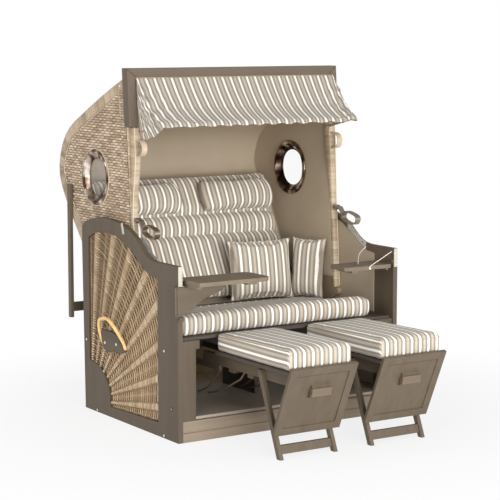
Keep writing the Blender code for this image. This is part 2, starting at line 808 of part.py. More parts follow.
def sun_wicker(sign):
    """Panel whose raised rays fan out from the rounded lower rear corner."""
    start = math.radians(90.3)
    stop = math.radians(177.7)
    fan = stop - start
    marks = []
    edge = fan / RAY_COUNT / 40
    for ray in range(RAY_COUNT):
        low = start + fan * (ray + 0.28) / RAY_COUNT
        high = start + fan * (ray + 0.72) / RAY_COUNT
        marks += [(low - edge, 0), (low + edge, 1), ((low + high) / 2, 1), (high - edge, 1),
                  (high + edge, 0)]
        marks.append((start + fan * (ray + 1) / RAY_COUNT, 0))
    marks.insert(0, (start, 0))
    back = SIDE_OUTER - WICKER_SET_BACK - RAY_RISE - WICKER_THICK
    face = back + WICKER_THICK
    geometry = bmesh.new()
    columns = []
    stations = (0, 1 / 2, 1)
    for angle, raised in marks:
        near, far = ray_hit(angle, opening_points, 2 * RUN_GAP)
        column = []
        for share in stations:
            reach = near + (far - near) * share
            y = hub_y + reach * math.cos(angle)
            z = hub_z + reach * math.sin(angle)
            front = geometry.verts.new((sign * (face + RAY_RISE * raised), y, z))
            rear = geometry.verts.new((sign * back, y, z))
            column.append((front, rear))
        columns.append(column)
    for one, two in zip(columns, columns[1:]):
        for index in range(len(stations) - 1):
            for side in (0, 1):
                geometry.faces.new((one[index][side], one[index + 1][side],
                                    two[index + 1][side], two[index][side]))
        for index in (0, len(stations) - 1):
            geometry.faces.new((one[index][0], one[index][1], two[index][1], two[index][0]))
    for column in (columns[0], columns[-1]):
        for index in range(len(stations) - 1):
            geometry.faces.new((column[index][0], column[index + 1][0], column[index + 1][1],
                                column[index][1]))
    return mesh_object("sun_wicker", geometry)


def table_lugs(sign):
    """Two lugs and the pin on which a table folds up."""
    pieces = []
    for y_low in (RUN_GAP, TABLE_REAR - TABLE_LUG):
        pieces.append(box((sign * LUG_INNER, sign * (SIDE_INNER + WELD)),
                          (y_low, y_low + TABLE_LUG),
                          (TABLE_TOP - TABLE_LUG_HALF, TABLE_TOP + TABLE_LUG_HALF)))
    pieces.append(rod((sign * TABLE_HINGE, 2 * RUN_GAP, TABLE_TOP),
                      (sign * TABLE_HINGE, TABLE_REAR - WELD, TABLE_TOP), TABLE_PIN, 10))
    return pieces


for side_name, sign in SIDES:
    frame = prism(side_points, "x", sign * SIDE_INNER, sign * SIDE_OUTER)
    window = prism(opening_points, "x", sign * (SIDE_INNER - CUT_OVER), sign * (SIDE_OUTER + CUT_OVER))
    cut(frame, window)
    extras = table_lugs(sign)
    for y, z in scaled(BOLT_SHARES, SIDE_DEPTH, SIDE_HEIGHT):
        extras.append(rod((sign * (SIDE_OUTER - WELD), y, z), (sign * (SIDE_OUTER + BOLT_RISE), y, z),
                          min(BOLT_RADIUS, z - SEAT_GAP), 10))
    if sign < 0:
        hinge_low = BRACKET_FOOT - SEAT_GAP
        hinge_high = BRACKET_TOP + SEAT_GAP
        leaf_x = (-SIDE_OUTER + WELD, -SIDE_OUTER - HINGE_LEAF)
        tab_x = (-SIDE_OUTER - HINGE_LEAF / 2, -BRACKET_AXIS_X - BRACKET_PIN)
        extras.append(box(leaf_x, (0, HINGE_LEAF_DEPTH), (hinge_low - HINGE_TAB, hinge_high + HINGE_TAB)))
        for foot in (hinge_low - HINGE_TAB, hinge_high):
            extras.append(box(tab_x, (BRACKET_AXIS_Y - BRACKET_PIN, HINGE_LEAF_DEPTH / 2),
                              (foot, foot + HINGE_TAB)))
        extras.append(rod((-BRACKET_AXIS_X, BRACKET_AXIS_Y, hinge_low - HINGE_TAB / 2),
                          (-BRACKET_AXIS_X, BRACKET_AXIS_Y, hinge_high + HINGE_TAB / 2), BRACKET_PIN, 8))
        stop_top = hinge_low - HINGE_TAB - SEAT_GAP
        extras.append(box((-SIDE_OUTER + BOLT_RISE, -SIDE_INNER - BOLT_RISE), (-STOP_BLOCK_DEPTH, WELD),
                          (stop_top - STOP_BLOCK_HEIGHT, stop_top)))
    fuse(frame, *extras)
    finish(frame, "side_frame_" + side_name, "base", "side_wood")

    finish(sun_wicker(sign), "sun_wicker_" + side_name, "base", "wicker")

    board = prism(lining_points, "x", sign * LINING_INNER, sign * LINING_OUTER)
    half_block = PIVOT_BLOCK / 2
    block = box((sign * (LINING_OUTER - WELD), sign * (LINING_OUTER + PIVOT_BLOCK_THICK)),
                (PIVOT_Y - half_block, PIVOT_Y + half_block),
                (PIVOT_Z - half_block, PIVOT_Z + half_block))
    fuse(board, block)
    bore = rod((sign * (LINING_INNER - CUT_OVER), PIVOT_Y, PIVOT_Z),
               (sign * (LINING_OUTER + PIVOT_BLOCK_THICK + CUT_OVER), PIVOT_Y, PIVOT_Z),
               PIVOT_PIN_RADIUS + PIVOT_PIN_GAP)
    cut(board, bore)
    finish(board, "side_lining_" + side_name, "base", "lining_board")

    plate_inner = SIDE_OUTER - WICKER_SET_BACK + SEAT_GAP
    plate_outer = plate_inner + HANDLE_THICK
    plate_points = scaled(HANDLE_PLATE_SHARES, HANDLE_LENGTH, HANDLE_HEIGHT, HANDLE_FRONT, HANDLE_FOOT)
    plate = prism(plate_points, "x", sign * plate_inner, sign * plate_outer)
    soften(plate, HANDLE_THICK / 6)
    cane_root = plate_outer - CANE_RADIUS * 1.2
    cane = [(sign * (cane_root + CANE_STAND_OFF * out), HANDLE_FRONT + HANDLE_LENGTH * along,
             HANDLE_FOOT + HANDLE_HEIGHT * up) for out, along, up in CANE_SHARES]
    arch = sweep(curve_through(cane, 2), circle(CANE_RADIUS, 7), side=(1, 0, 0))
    bolts = [rod((sign * (plate_outer - WELD), HANDLE_FRONT + HANDLE_LENGTH * along,
                  HANDLE_FOOT + HANDLE_HEIGHT * up),
                 (sign * (plate_outer + BOLT_RISE), HANDLE_FRONT + HANDLE_LENGTH * along,
                  HANDLE_FOOT + HANDLE_HEIGHT * up), BOLT_RADIUS, 10)
             for along, up in HANDLE_BOLT_SHARES]
    fuse(plate, arch, *bolts)
    finish(plate, "carry_handle_" + side_name, "base", "cane")

    stile = box((sign * INNER_FIT, sign * (INNER_FIT - STILE_WIDTH)),
                (PLINTH_STEP, PLINTH_STEP + STILE_THICK), (FLOOR_FOOT, CAP_FOOT + WELD))
    cap = box((sign * INNER_FIT, sign * (INNER_FIT - CAP_WIDTH)),
              (PLINTH_STEP - WELD, PLINTH_STEP + STILE_THICK), (CAP_FOOT, SEAT_UNDER_FIT))
    fuse(stile, cap)
    finish(stile, "front_stile_" + side_name, "base", "front_wood")

    strap = prism(latch_points, "x", sign * (INNER_FIT - LATCH_THICK), sign * INNER_FIT)
    hole_x = (sign * (INNER_FIT - LATCH_THICK - CUT_OVER), sign * (INNER_FIT + CUT_OVER))
    holes = [rod((hole_x[0], y, z), (hole_x[1], y, z), LATCH_HOLE, 10)
             for y, z in scaled(LATCH_HOLE_SHARES, SIDE_DEPTH, SIDE_HEIGHT)]
    cut(strap, *holes)
    finish(strap, "latch_strip_" + side_name, "base", "aluminium")

    cap_x = SIDE_OUTER - SIDE_THICK / 2
    arm_top = SIDE_OUTLINE_SHARES[-1][1] * SIDE_HEIGHT
    metal = box((sign * (cap_x - CORNER_CAP_WIDTH / 2), sign * (cap_x + CORNER_CAP_WIDTH / 2)),
                (-SEAT_GAP - CORNER_CAP_THICK, -SEAT_GAP), (arm_top - CORNER_CAP_HEIGHT, arm_top),
                edge=CORNER_CAP_THICK / 4)
    finish(metal, "corner_cap_" + side_name, "base", "aluminium")

plinth = box((-INNER_FIT, INNER_FIT), (0, PLINTH_DEPTH), (0, PLINTH_LOW))
step = box((-INNER_FIT, INNER_FIT), (PLINTH_STEP, PLINTH_DEPTH), (PLINTH_LOW - WELD, PLINTH_HIGH))
finish(fuse(plinth, step), "plinth", "base", "front_wood")

floor_front = PLINTH_STEP + STILE_THICK + SEAT_GAP
floor_board = box((-INNER_FIT, INNER_FIT), (floor_front, REAR_PANEL_FRONT - SEAT_GAP),
                  (FLOOR_FOOT, FLOOR_TOP))
finish(floor_board, "floor_board", "base", "dark_board")

panel = box((-INNER_FIT, INNER_FIT), (REAR_PANEL_FRONT, REAR_PANEL_FRONT + REAR_PANEL_THICK),
            (0, REAR_PANEL_HEIGHT))
ledge = box((-INNER_FIT, INNER_FIT), (REAR_PANEL_FRONT - REAR_LEDGE, REAR_PANEL_FRONT + WELD),
            (PLINTH_HIGH - REAR_LEDGE, PLINTH_HIGH))
fuse(panel, ledge)
field_low = FLOOR_TOP + REAR_PANEL_BORDER / 2
field_high = REAR_PANEL_HEIGHT - REAR_PANEL_BORDER
slots = []
for row in range(REAR_SLOT_ROWS):
    middle = field_low + (field_high - field_low) * (row + 0.5) / REAR_SLOT_ROWS
    for part in range(3):
        span = 2 * (INNER_FIT - REAR_PANEL_BORDER) / 3
        left = -INNER_FIT + REAR_PANEL_BORDER + span * part + REAR_PANEL_BORDER / 4
        slots.append(box((left, left + span - REAR_PANEL_BORDER / 2),
                         (REAR_PANEL_FRONT - CUT_OVER, REAR_PANEL_FRONT + REAR_PANEL_THICK + CUT_OVER),
                         (middle - REAR_PANEL_SLOT / 2, middle + REAR_PANEL_SLOT / 2)))
cut(panel, *slots)
finish(panel, "rear_panel", "base", "wicker")

neck_x = SWEPT_FIT
seat_outline = ((-LINED_FIT, SEAT_BOARD_FRONT), (LINED_FIT, SEAT_BOARD_FRONT),
                (LINED_FIT, SEAT_BOARD_NECK), (neck_x, SEAT_BOARD_NECK),
                (neck_x, SEAT_BOARD_REAR), (-neck_x, SEAT_BOARD_REAR),
                (-neck_x, SEAT_BOARD_NECK), (-LINED_FIT, SEAT_BOARD_NECK))
seat_board = prism(seat_outline, "z", SEAT_UNDERSIDE, SEAT_BOARD_TOP)
finish(seat_board, "seat_board", "base", "dark_board")

divider = box((-DIVIDER_THICK / 2, DIVIDER_THICK / 2), (DIVIDER_FRONT, BEAM_FRONT - SEAT_GAP),
              (FLOOR_TOP + SEAT_GAP, SEAT_UNDER_FIT))
finish(divider, "centre_divider", "base", "dark_board")

guide_foot = GUIDE_TOP - GUIDE_HEIGHT
cleat_inner = SWEPT_FIT - CLEAT_WIDTH
beam_rear = BEAM_FRONT + BEAM_DEPTH
cleat_outline = (
    (-LINED_FIT, floor_front), (-cleat_inner, floor_front), (-cleat_inner, BEAM_FRONT),
    (cleat_inner, BEAM_FRONT), (cleat_inner, floor_front), (LINED_FIT, floor_front),
    (LINED_FIT, SEAT_BOARD_NECK), (SWEPT_FIT, SEAT_BOARD_NECK), (SWEPT_FIT, beam_rear),
    (-SWEPT_FIT, beam_rear), (-SWEPT_FIT, SEAT_BOARD_NECK), (-LINED_FIT, SEAT_BOARD_NECK),
)
beam = prism(cleat_outline, "z", CAP_FOOT, SEAT_UNDER_FIT)
web_y = (BEAM_FRONT + WELD, beam_rear - WELD)
seat_parts = [box((-SWEPT_FIT + WELD, SWEPT_FIT - WELD), web_y, (guide_foot, CAP_FOOT + WELD))]
for side_name, sign in SIDES:
    foot_outer = SWEPT_FIT - 2 * WELD
    seat_parts.append(box((sign * (foot_outer - BEAM_FOOT_WIDTH), sign * foot_outer),
                          (BEAM_FRONT + 2 * WELD, beam_rear - 2 * WELD),
                          (FLOOR_TOP + SEAT_GAP, guide_foot + WELD)))
    for way in (-1, 1):
        outer = sign * FOOT_X + way * RAIL_OUT
        seat_parts.append(box((outer, outer - way * GUIDE_WIDTH), (GUIDE_FRONT, BEAM_FRONT + 3 * WELD),
                              (guide_foot + WELD, GUIDE_TOP)))
fuse(beam, *seat_parts)
finish(beam, "seat_frame", "base", "dark_board")

# Hood shell
hood_back = scaled(HOOD_BACK_SHARES, HOOD_REACH, HOOD_TOP)
hood_foot = scaled(HOOD_FOOT_SHARES, HOOD_REACH, HOOD_TOP)
roof_start = (hood_front(HOOD_ROOF_FRONT) + FRAME_DEEP + SEAT_GAP, HOOD_ROOF_FRONT)
roof_line = [roof_start] + hood_back
shoulder = HOOD_SHOULDER + SEAT_GAP


def front_edge(foot_z, gap):
    """Points up the front edge of a hood wall, behind the stile and the front frame."""
    return [(hood_front(foot_z) + STILE_DEEP + gap, foot_z),
            (hood_front(shoulder) + STILE_DEEP + gap, shoulder - SEAT_GAP),
            (hood_front(shoulder) + FRAME_DEEP + gap, shoulder - SEAT_GAP)]


side_line = roof_line + hood_foot + front_edge(HOOD_FRONT_Z, SEAT_GAP)
field_line = inset(roof_line, TRIM_WIDTH)
field_line = [(max(y, hood_front(z) + FRAME_DEEP + TRIM_WIDTH), z) for y, z in field_line]
field_line += [(hood_front(LINING_FOOT) + STILE_DEEP + TRIM_WIDTH, LINING_FOOT - TRIM_WIDTH / 2),
               (hood_front(HOOD_SHOULDER) + STILE_DEEP + TRIM_WIDTH, HOOD_SHOULDER)]
lining_line = [(max(y, hood_front(z) + FRAME_DEEP + SEAT_GAP), z)
               for y, z in inset(roof_line, ROOF_THICK + SEAT_GAP) if z > LINING_FOOT]
lining_back_y = BACK_FOOT_Y + (LINING_FOOT - BACK_FOOT_Z) * BACK_UP.y / BACK_UP.z
lining_back_y += (BACK_CUSHION_THICK + BACK_BOARD_THICK) / BACK_UP.z
lining_line += [(lining_back_y, LINING_FOOT)] + front_edge(LINING_FOOT, SEAT_GAP)
port_profile = (
    (HOOD_OUTER + SEAT_GAP, PORT_FLANGE), (HOOD_OUTER + PORT_FLANGE_THICK * 0.8, PORT_FLANGE * 0.985),
    (HOOD_OUTER + PORT_FLANGE_THICK, PORT_HOLE * 0.98),
    (HOOD_OUTER + PORT_FLANGE_THICK * 0.3, PORT_HOLE * 0.85),
    (HOOD_OUTER - PORT_FLANGE_THICK, PORT_EYE * 1.05), (HOOD_OUTER - PORT_FLANGE_THICK * 2, PORT_EYE),
    (HOOD_INNER + PORT_FLANGE_THICK * 2, PORT_EYE), (HOOD_INNER + PORT_FLANGE_THICK, PORT_EYE * 1.05),
    (HOOD_INNER - PORT_FLANGE_THICK * 0.3, PORT_HOLE * 0.85),
    (HOOD_INNER - PORT_FLANGE_THICK, PORT_HOLE * 0.98),
    (HOOD_INNER - PORT_FLANGE_THICK * 0.8, PORT_FLANGE * 0.985), (HOOD_INNER - SEAT_GAP, PORT_FLANGE),
    (HOOD_INNER - SEAT_GAP, PORT_HOLE - SEAT_GAP), (HOOD_OUTER + SEAT_GAP, PORT_HOLE - SEAT_GAP),
)

for side_name, sign in SIDES:
    wall = prism(side_line, "x", sign * HOOD_WALL, sign * HOOD_OUTER)
    field = prism(field_line, "x", sign * (HOOD_OUTER - TRIM_RISE), sign * (HOOD_OUTER + CUT_OVER))
    port_bore = rod((sign * (HOOD_WALL - CUT_OVER), PORT_Y, PORT_Z),
                    (sign * (HOOD_OUTER + CUT_OVER), PORT_Y, PORT_Z),
                    PORT_HOLE / math.cos(math.pi / PORT_STEPS), PORT_STEPS)
    pin_bore = rod((sign * (HOOD_OUTER - CUT_OVER - TRIM_RISE), LEG_Y, LEG_PIVOT_Z),
                   (sign * (HOOD_OUTER + CUT_OVER), LEG_Y, LEG_PIVOT_Z), REAR_PIN_RADIUS + RUN_GAP / 2)
    cut(wall, field)
    land = rod((sign * (HOOD_WALL + WELD), PORT_Y, PORT_Z), (sign * HOOD_OUTER, PORT_Y, PORT_Z),
               PORT_FLANGE + RUN_GAP, PORT_STEPS)
    fuse(wall, land)
    cut(wall, port_bore, pin_bore)
    boss = rod((sign * (HOOD_WALL + WELD), PIVOT_Y, PIVOT_Z),
               (sign * (HOOD_OUTER + PIVOT_BOSS_RISE), PIVOT_Y, PIVOT_Z), PIVOT_BOSS_RADIUS, 20)
    pin = rod((sign * (HOOD_OUTER - WELD), PIVOT_Y, PIVOT_Z),
              (sign * (HOOD_OUTER + PIVOT_PIN_REACH), PIVOT_Y, PIVOT_Z), PIVOT_PIN_RADIUS)
    fuse(wall, boss, pin)
    finish(wall, "hood_side_" + side_name, "hood", "wicker")

    lining = prism(lining_line, "x", sign * HOOD_INNER, sign * HOOD_LINING_OUTER)
    lining_bore = rod((sign * (HOOD_INNER - CUT_OVER), PORT_Y, PORT_Z),
                      (sign * (HOOD_OUTER + CUT_OVER), PORT_Y, PORT_Z),
                      PORT_HOLE / math.cos(math.pi / PORT_STEPS), PORT_STEPS)
    cut(lining, lining_bore)
    finish(lining, "hood_lining_" + side_name, "hood", "lining_board")

    ring = turned(port_profile, (PORT_Y, PORT_Z), sign, 22)
    finish(ring, "porthole_ring_" + side_name, "hood", "chrome")
    glass_x = (HOOD_INNER + HOOD_OUTER) / 2
    glass = rod((sign * (glass_x - GLASS_THICK / 2), PORT_Y, PORT_Z),
                (sign * (glass_x + GLASS_THICK / 2), PORT_Y, PORT_Z), PORT_EYE * 0.985, 26)
    finish(glass, "porthole_glass_" + side_name, "hood", "pale_glass")

    post = box((sign * (HOOD_OUTER - STILE_FACE), sign * HOOD_OUTER), (0, STILE_DEEP),
               (HOOD_FRONT_Z, HOOD_SHOULDER), edge=STILE_ROUND)
    lean_back(post)
    loop_x = sign * (HOOD_OUTER - PULL_LOOP_INSET - PULL_LOOP_WIDTH / 2)
    loop_y = hood_front(PULL_LOOP_FOOT + PULL_LOOP_HEIGHT / 2)
    loop = [(loop_x, loop_y - PULL_LOOP_REACH * out, PULL_LOOP_FOOT + PULL_LOOP_HEIGHT * up)
            for out, up in PULL_LOOP_SHARES]
    pull = sweep(curve_through(loop, 2), strip(PULL_LOOP_WIDTH, PULL_LOOP_THICK), side=(1, 0, 0))
    pin_root = LEVER_INNER - RUN_GAP
    lever_lug = box((sign * (pin_root - LEVER_BRACKET), sign * pin_root),
                    (LEVER_PIVOT_Y - LEVER_HUB, hood_front(LEVER_PIVOT_Z) + STILE_ROUND),
                    (LEVER_PIVOT_Z - LEVER_HUB, LEVER_PIVOT_Z + LEVER_HUB))
    lever_pin = rod((sign * (pin_root - WELD), LEVER_PIVOT_Y, LEVER_PIVOT_Z),
                    (sign * (pin_root + LEVER_WIDTH), LEVER_PIVOT_Y, LEVER_PIVOT_Z), LEVER_PIN, 10)
    lug_root = BOW_ARM_X + BOW_HUB + RUN_GAP
    bow_lug = box((sign * lug_root, sign * (lug_root + BOW_LUG)),
                  (BOW_PIVOT_Y - BOW_HUB, hood_front(BOW_PIVOT_Z) + STILE_ROUND),
                  (BOW_PIVOT_Z - BOW_HUB, BOW_PIVOT_Z + BOW_HUB))
    bow_pin = rod((sign * (lug_root + WELD), BOW_PIVOT_Y, BOW_PIVOT_Z),
                  (sign * (lug_root - BOW_HUB * 1.5), BOW_PIVOT_Y, BOW_PIVOT_Z), BOW_PIN, 10)
    fuse(post, pull, lever_lug, lever_pin, bow_lug, bow_pin)
    finish(post, "edge_stile_" + side_name, "hood", "wicker_trim")

roof_inner = inset(roof_line, ROOF_THICK)
roof_inner[0] = (roof_start[0], roof_inner[0][1])
roof_fit = HOOD_WALL - SEAT_GAP
roof = prism(roof_line + list(reversed(roof_inner)), "x", -roof_fit, roof_fit)
finish(roof, "hood_roof", "hood", "wicker")

ceiling_line = roof_line[:CEILING_POINTS + 1]
ceiling_top = inset(ceiling_line, CEILING_DROP)
ceiling_low = inset(ceiling_line, CEILING_DROP + CEILING_THICK)
ceiling_top[0] = (hood_front(ceiling_top[0][1]) + FRAME_DEEP + SEAT_GAP, ceiling_top[0][1])
ceiling_low[0] = (hood_front(ceiling_low[0][1]) + FRAME_DEEP + SEAT_GAP, ceiling_low[0][1])
ceiling_fit = HOOD_INNER - SEAT_GAP
ceiling = prism(ceiling_top + list(reversed(ceiling_low)), "x", -ceiling_fit, ceiling_fit)
finish(ceiling, "hood_lining_back", "hood", "lining_board")

beam_foot = HOOD_TOP - FRAME_BEAM
front_frame = box((-HOOD_OUTER, HOOD_OUTER), (0, FRAME_DEEP), (beam_foot, HOOD_TOP))
uprights = [box((sign * (HOOD_OUTER - FRAME_FACE), sign * HOOD_OUTER), (0, FRAME_DEEP),
                (shoulder, beam_foot + WELD)) for sign in (-1, 1)]
lip = box((-HOOD_OUTER + FRAME_FACE / 2, HOOD_OUTER - FRAME_FACE / 2), (FRAME_LIP_SET_BACK, FRAME_DEEP),
          (beam_foot - FRAME_LIP, beam_foot + WELD))
fuse(front_frame, lip, *uprights)
lean_back(front_frame)
finish(front_frame, "hood_front_frame", "hood", "front_wood")

back_board_front = BACK_FOOT - BACK_OUT * (BACK_CUSHION_THICK + SEAT_GAP)
back_board_rear = back_board_front - BACK_OUT * BACK_BOARD_THICK
back_outline = [(p.y, p.z) for p in (back_board_front, back_board_front + BACK_VECTOR,
                                     back_board_rear + BACK_VECTOR, back_board_rear)]
back_panel = prism(back_outline, "x", -ceiling_fit, ceiling_fit)

# Upholstery
X_AXIS = Vector((1, 0, 0))
Y_AXIS = Vector((0, 1, 0))
Z_AXIS = Vector((0, 0, 1))
half = (BACK_CUSHION_WIDTH / 2, BACK_LENGTH / 2, BACK_CUSHION_THICK / 2)
crown = BACK_CUSHION_THICK / 8
flat_half = (half[0], half[1], half[2] - crown)
seam_low = -half[1] + BACK_LENGTH * 0.527
seam_high = -half[1] + BACK_LENGTH * 0.694
shape = pillow_shape(half, crown, crown, (seam_low, seam_high), crown * 1.1, crown * 2)
back_cushion = soft_block(flat_half, BACK_CUSHION_THICK / 3.2, (9, 13, 2), shape)
back_centre = BACK_FOOT + BACK_VECTOR / 2 - BACK_OUT * BACK_CUSHION_THICK / 3
stand(back_cushion, back_centre, X_AXIS, BACK_UP, BACK_OUT)
settle(back_cushion, back_panel, -BACK_OUT)
finish(back_panel, "back_panel", "hood", "lining_board")

for side_name, sign in SIDES:
    half = (HEADREST_WIDTH / 2, HEADREST_HEIGHT / 2, HEADREST_THICK / 2)
    crown = HEADREST_THICK / 5
    flat_half = (half[0], half[1], half[2] - crown)
    shape = pillow_shape(half, crown, crown / 2)
    headrest = soft_block(flat_half, HEADREST_THICK / 4, (5, 3, 2), shape)
    centre = BACK_FOOT + BACK_UP * HEADREST_UP + BACK_OUT * HEADREST_THICK
    stand(headrest, centre + X_AXIS * sign * HEADREST_PLACE, X_AXIS, BACK_UP, BACK_OUT)
    settle(headrest, back_cushion, -BACK_OUT)
    finish(headrest, "headrest_" + side_name, "hood", "stripe_cloth")

seat_depth = SEAT_CUSHION_REAR - SEAT_CUSHION_FRONT
half = (SEAT_CUSHION_WIDTH / 2, seat_depth / 2, SEAT_CUSHION_THICK / 2)
crown = SEAT_CUSHION_THICK / 9


def seat_shape(place):
    """Crowned top that falls towards the back, over a flat underside, with drawn-in sides."""
    u = place.x / half[0]
    v = place.y / half[1]
    rise = max(place.z / half[2], 0)
    lift = crown * (1 - u ** 4) * (1 - v ** 4) - SEAT_CUSHION_FALL * (1 + v) / 2
    return Vector((place.x - crown * u * (1 - v * v) / 2, place.y - crown * v * (1 - u * u) / 2,
                   place.z + rise * lift))


flat_half = (half[0], half[1], half[2] - crown / 2)
seat_cushion = soft_block(flat_half, SEAT_CUSHION_THICK / 2.6, (11, 7, 2), seat_shape)
seat_centre_z = SEAT_BOARD_TOP + SEAT_GAP + flat_half[2]
stand(seat_cushion, (0, SEAT_CUSHION_FRONT + seat_depth / 2, seat_centre_z), X_AXIS, Y_AXIS, Z_AXIS)
seat_crown_z = seat_centre_z + flat_half[2] + crown


def throw_pillow(width, thick, centre, turn, lean):
    """Loose pillow with pointed corners, turned about the upright and leaning back."""
    half = (width / 2, PILLOW_HEIGHT / 2, thick / 2)
    crown = thick * 0.26
    flat_half = (half[0], half[1], half[2] - crown)
    shape = pillow_shape(half, crown, crown * 0.4)
    pillow = soft_block(flat_half, thick * 0.18, (5, 4, 2), shape)
    turn = math.radians(turn)
    lean = math.radians(lean)
    along = Vector((math.cos(turn), -math.sin(turn), 0))
    rearward = Vector((math.sin(turn), math.cos(turn), 0))
    up = rearward * math.sin(lean) + Z_AXIS * math.cos(lean)
    return stand(pillow, centre, along, up, along.cross(up))


pillow_z = seat_crown_z + PILLOW_HEIGHT / 2
pillow = throw_pillow(PILLOW_WIDTH, PILLOW_THICK, (PILLOW_A_X, PILLOW_A_Y, pillow_z),
                      PILLOW_A_TURN, PILLOW_A_LEAN)
settle(pillow, seat_cushion, -Z_AXIS)
finish(pillow, "throw_pillow_left", "base", "stripe_cloth")
pillow = throw_pillow(PILLOW_B_WIDTH, PILLOW_B_THICK, (PILLOW_B_X, PILLOW_B_Y, pillow_z),
                      PILLOW_B_TURN, PILLOW_B_LEAN)
settle(pillow, seat_cushion, -Z_AXIS)
finish(pillow, "throw_pillow_right", "base", "stripe_cloth")
finish(seat_cushion, "seat_cushion", "base", "stripe_cloth")
finish(back_cushion, "back_cushion", "hood", "stripe_cloth")

# Rear support frame
leg_inner = LEG_X
leg_outer = LEG_X + LEG_THICK
bar_front = LEG_Y + LEG_DEPTH / 2 - REAR_BAR_DEPTH
rear_frame = box((-leg_outer + WELD, leg_outer - WELD), (bar_front, LEG_Y + LEG_DEPTH / 2 - WELD),
                 (REAR_BAR_FOOT, REAR_BAR_HEAD))
rear_parts = []
for sign in (-1, 1):
    rear_parts.append(box((sign * leg_inner, sign * leg_outer),
                          (LEG_Y - LEG_DEPTH / 2, LEG_Y + LEG_DEPTH / 2),
                          (LEG_FOOT, LEG_HEAD), edge=LEG_THICK / 9))
    rear_parts.append(rod((sign * (leg_inner + WELD), LEG_Y, LEG_PIVOT_Z),
                          (sign * (leg_inner - REAR_PIN_REACH + LEG_DEPTH / 8), LEG_Y, LEG_PIVOT_Z),
                          REAR_PIN_RADIUS))
    rear_parts.append(rod((sign * (leg_outer - WELD), LEG_Y, LEG_PIVOT_Z),
                          (sign * (leg_outer + BOLT_RISE), LEG_Y, LEG_PIVOT_Z), BOLT_RADIUS, 10))
fuse(rear_frame, *rear_parts)
finish(rear_frame, "rear_frame", "rear_support", "front_wood")

# Levers
for side_name, sign in SIDES:
    middle = sign * (LEVER_INNER + LEVER_WIDTH / 2)
    hub_low = sign * LEVER_INNER
    hub_high = sign * (LEVER_INNER + LEVER_WIDTH)
    hub = rod((hub_low, LEVER_PIVOT_Y, LEVER_PIVOT_Z), (hub_high, LEVER_PIVOT_Y, LEVER_PIVOT_Z), LEVER_HUB)
    arm = [(middle, LEVER_PIVOT_Y - LEVER_REACH * out, LEVER_PIVOT_Z + LEVER_HEIGHT * up)
           for out, up in LEVER_ARM_SHARES]
    grip = [(middle, LEVER_PIVOT_Y - LEVER_REACH * out, LEVER_PIVOT_Z + LEVER_HEIGHT * up)
            for out, up in LEVER_LOOP_SHARES]
    arm_band = sweep(curve_through(arm, 2), strip(LEVER_WIDTH - 2 * WELD, LEVER_THICK), side=(1, 0, 0))
    grip_band = sweep(curve_through(grip, 2, closed=True), strip(LEVER_WIDTH, LEVER_THICK),
                      side=(1, 0, 0), closed=True)
    fuse(hub, arm_band, grip_band)
    bore = rod((hub_low - sign * CUT_OVER, LEVER_PIVOT_Y, LEVER_PIVOT_Z),
               (hub_high + sign * CUT_OVER, LEVER_PIVOT_Y, LEVER_PIVOT_Z), LEVER_PIN + RUN_GAP / 2, 10)
    cut(hub, bore)
    finish(hub, "recline_lever_" + side_name, "lever_hinge_" + side_name, "zinc_steel")

# Awning bow and cloth
arm_left = [Vector((-BOW_ARM_X, BOW_PIVOT_Y, BOW_PIVOT_Z)), Vector((-BOW_ARM_X, BOW_BAR_Y, BOW_BAR_Z))]
bow_corner = BOW_RADIUS * 4
arm_way = (arm_left[1] - arm_left[0]).normalized()
bow_path = [arm_left[0], arm_left[1] - arm_way * bow_corner, arm_left[1] - arm_way * bow_corner / 3
            + X_AXIS * bow_corner / 3, arm_left[1] + X_AXIS * bow_corner]
bow_path += [Vector((-p.x, p.y, p.z)) for p in reversed(bow_path)]
bow_side = X_AXIS.cross(arm_way)
bow = sweep(bow_path, circle(BOW_RADIUS, 8), side=bow_side)
hubs = []
bores = []
for sign in (-1, 1):
    hub_in = sign * (BOW_ARM_X - BOW_HUB)
    hub_out = sign * (BOW_ARM_X + BOW_HUB)
    hubs.append(rod((hub_in, BOW_PIVOT_Y, BOW_PIVOT_Z), (hub_out, BOW_PIVOT_Y, BOW_PIVOT_Z), BOW_HUB))
    bores.append(rod((sign * (BOW_ARM_X - BOW_HUB / 2 - RUN_GAP), BOW_PIVOT_Y, BOW_PIVOT_Z),
                     (hub_out + sign * CUT_OVER, BOW_PIVOT_Y, BOW_PIVOT_Z), BOW_PIN + RUN_GAP / 2, 10))
fuse(bow, *hubs)
cut(bow, *bores)
finish(bow, "awning_bow", "awning_hinge", "zinc_steel")


def awning_rows():
    """Profile of the cloth from the hood's edge to the hem, in (y, z)."""
    top_y = hood_front(AWNING_TOP) - AWNING_THICK - SEAT_GAP
    bar_y = BOW_BAR_Y
    bar_z = BOW_BAR_Z + BOW_RADIUS + RUN_GAP
    drop_z = (bar_z - AWNING_TOP) / AWNING_DROP_SHARES[-1][1]
    rows = [(top_y + (bar_y - top_y) * u, AWNING_TOP + drop_z * v) for u, v in AWNING_DROP_SHARES]
    wrap = BOW_RADIUS + RUN_GAP
    rows.append((bar_y - wrap * 0.8, BOW_BAR_Z + wrap * 0.75))
    rows.append((bar_y - wrap * 1.15, BOW_BAR_Z))
    rows.append((bar_y - wrap * 1.2, BOW_BAR_Z - AWNING_HEM))
    return rows


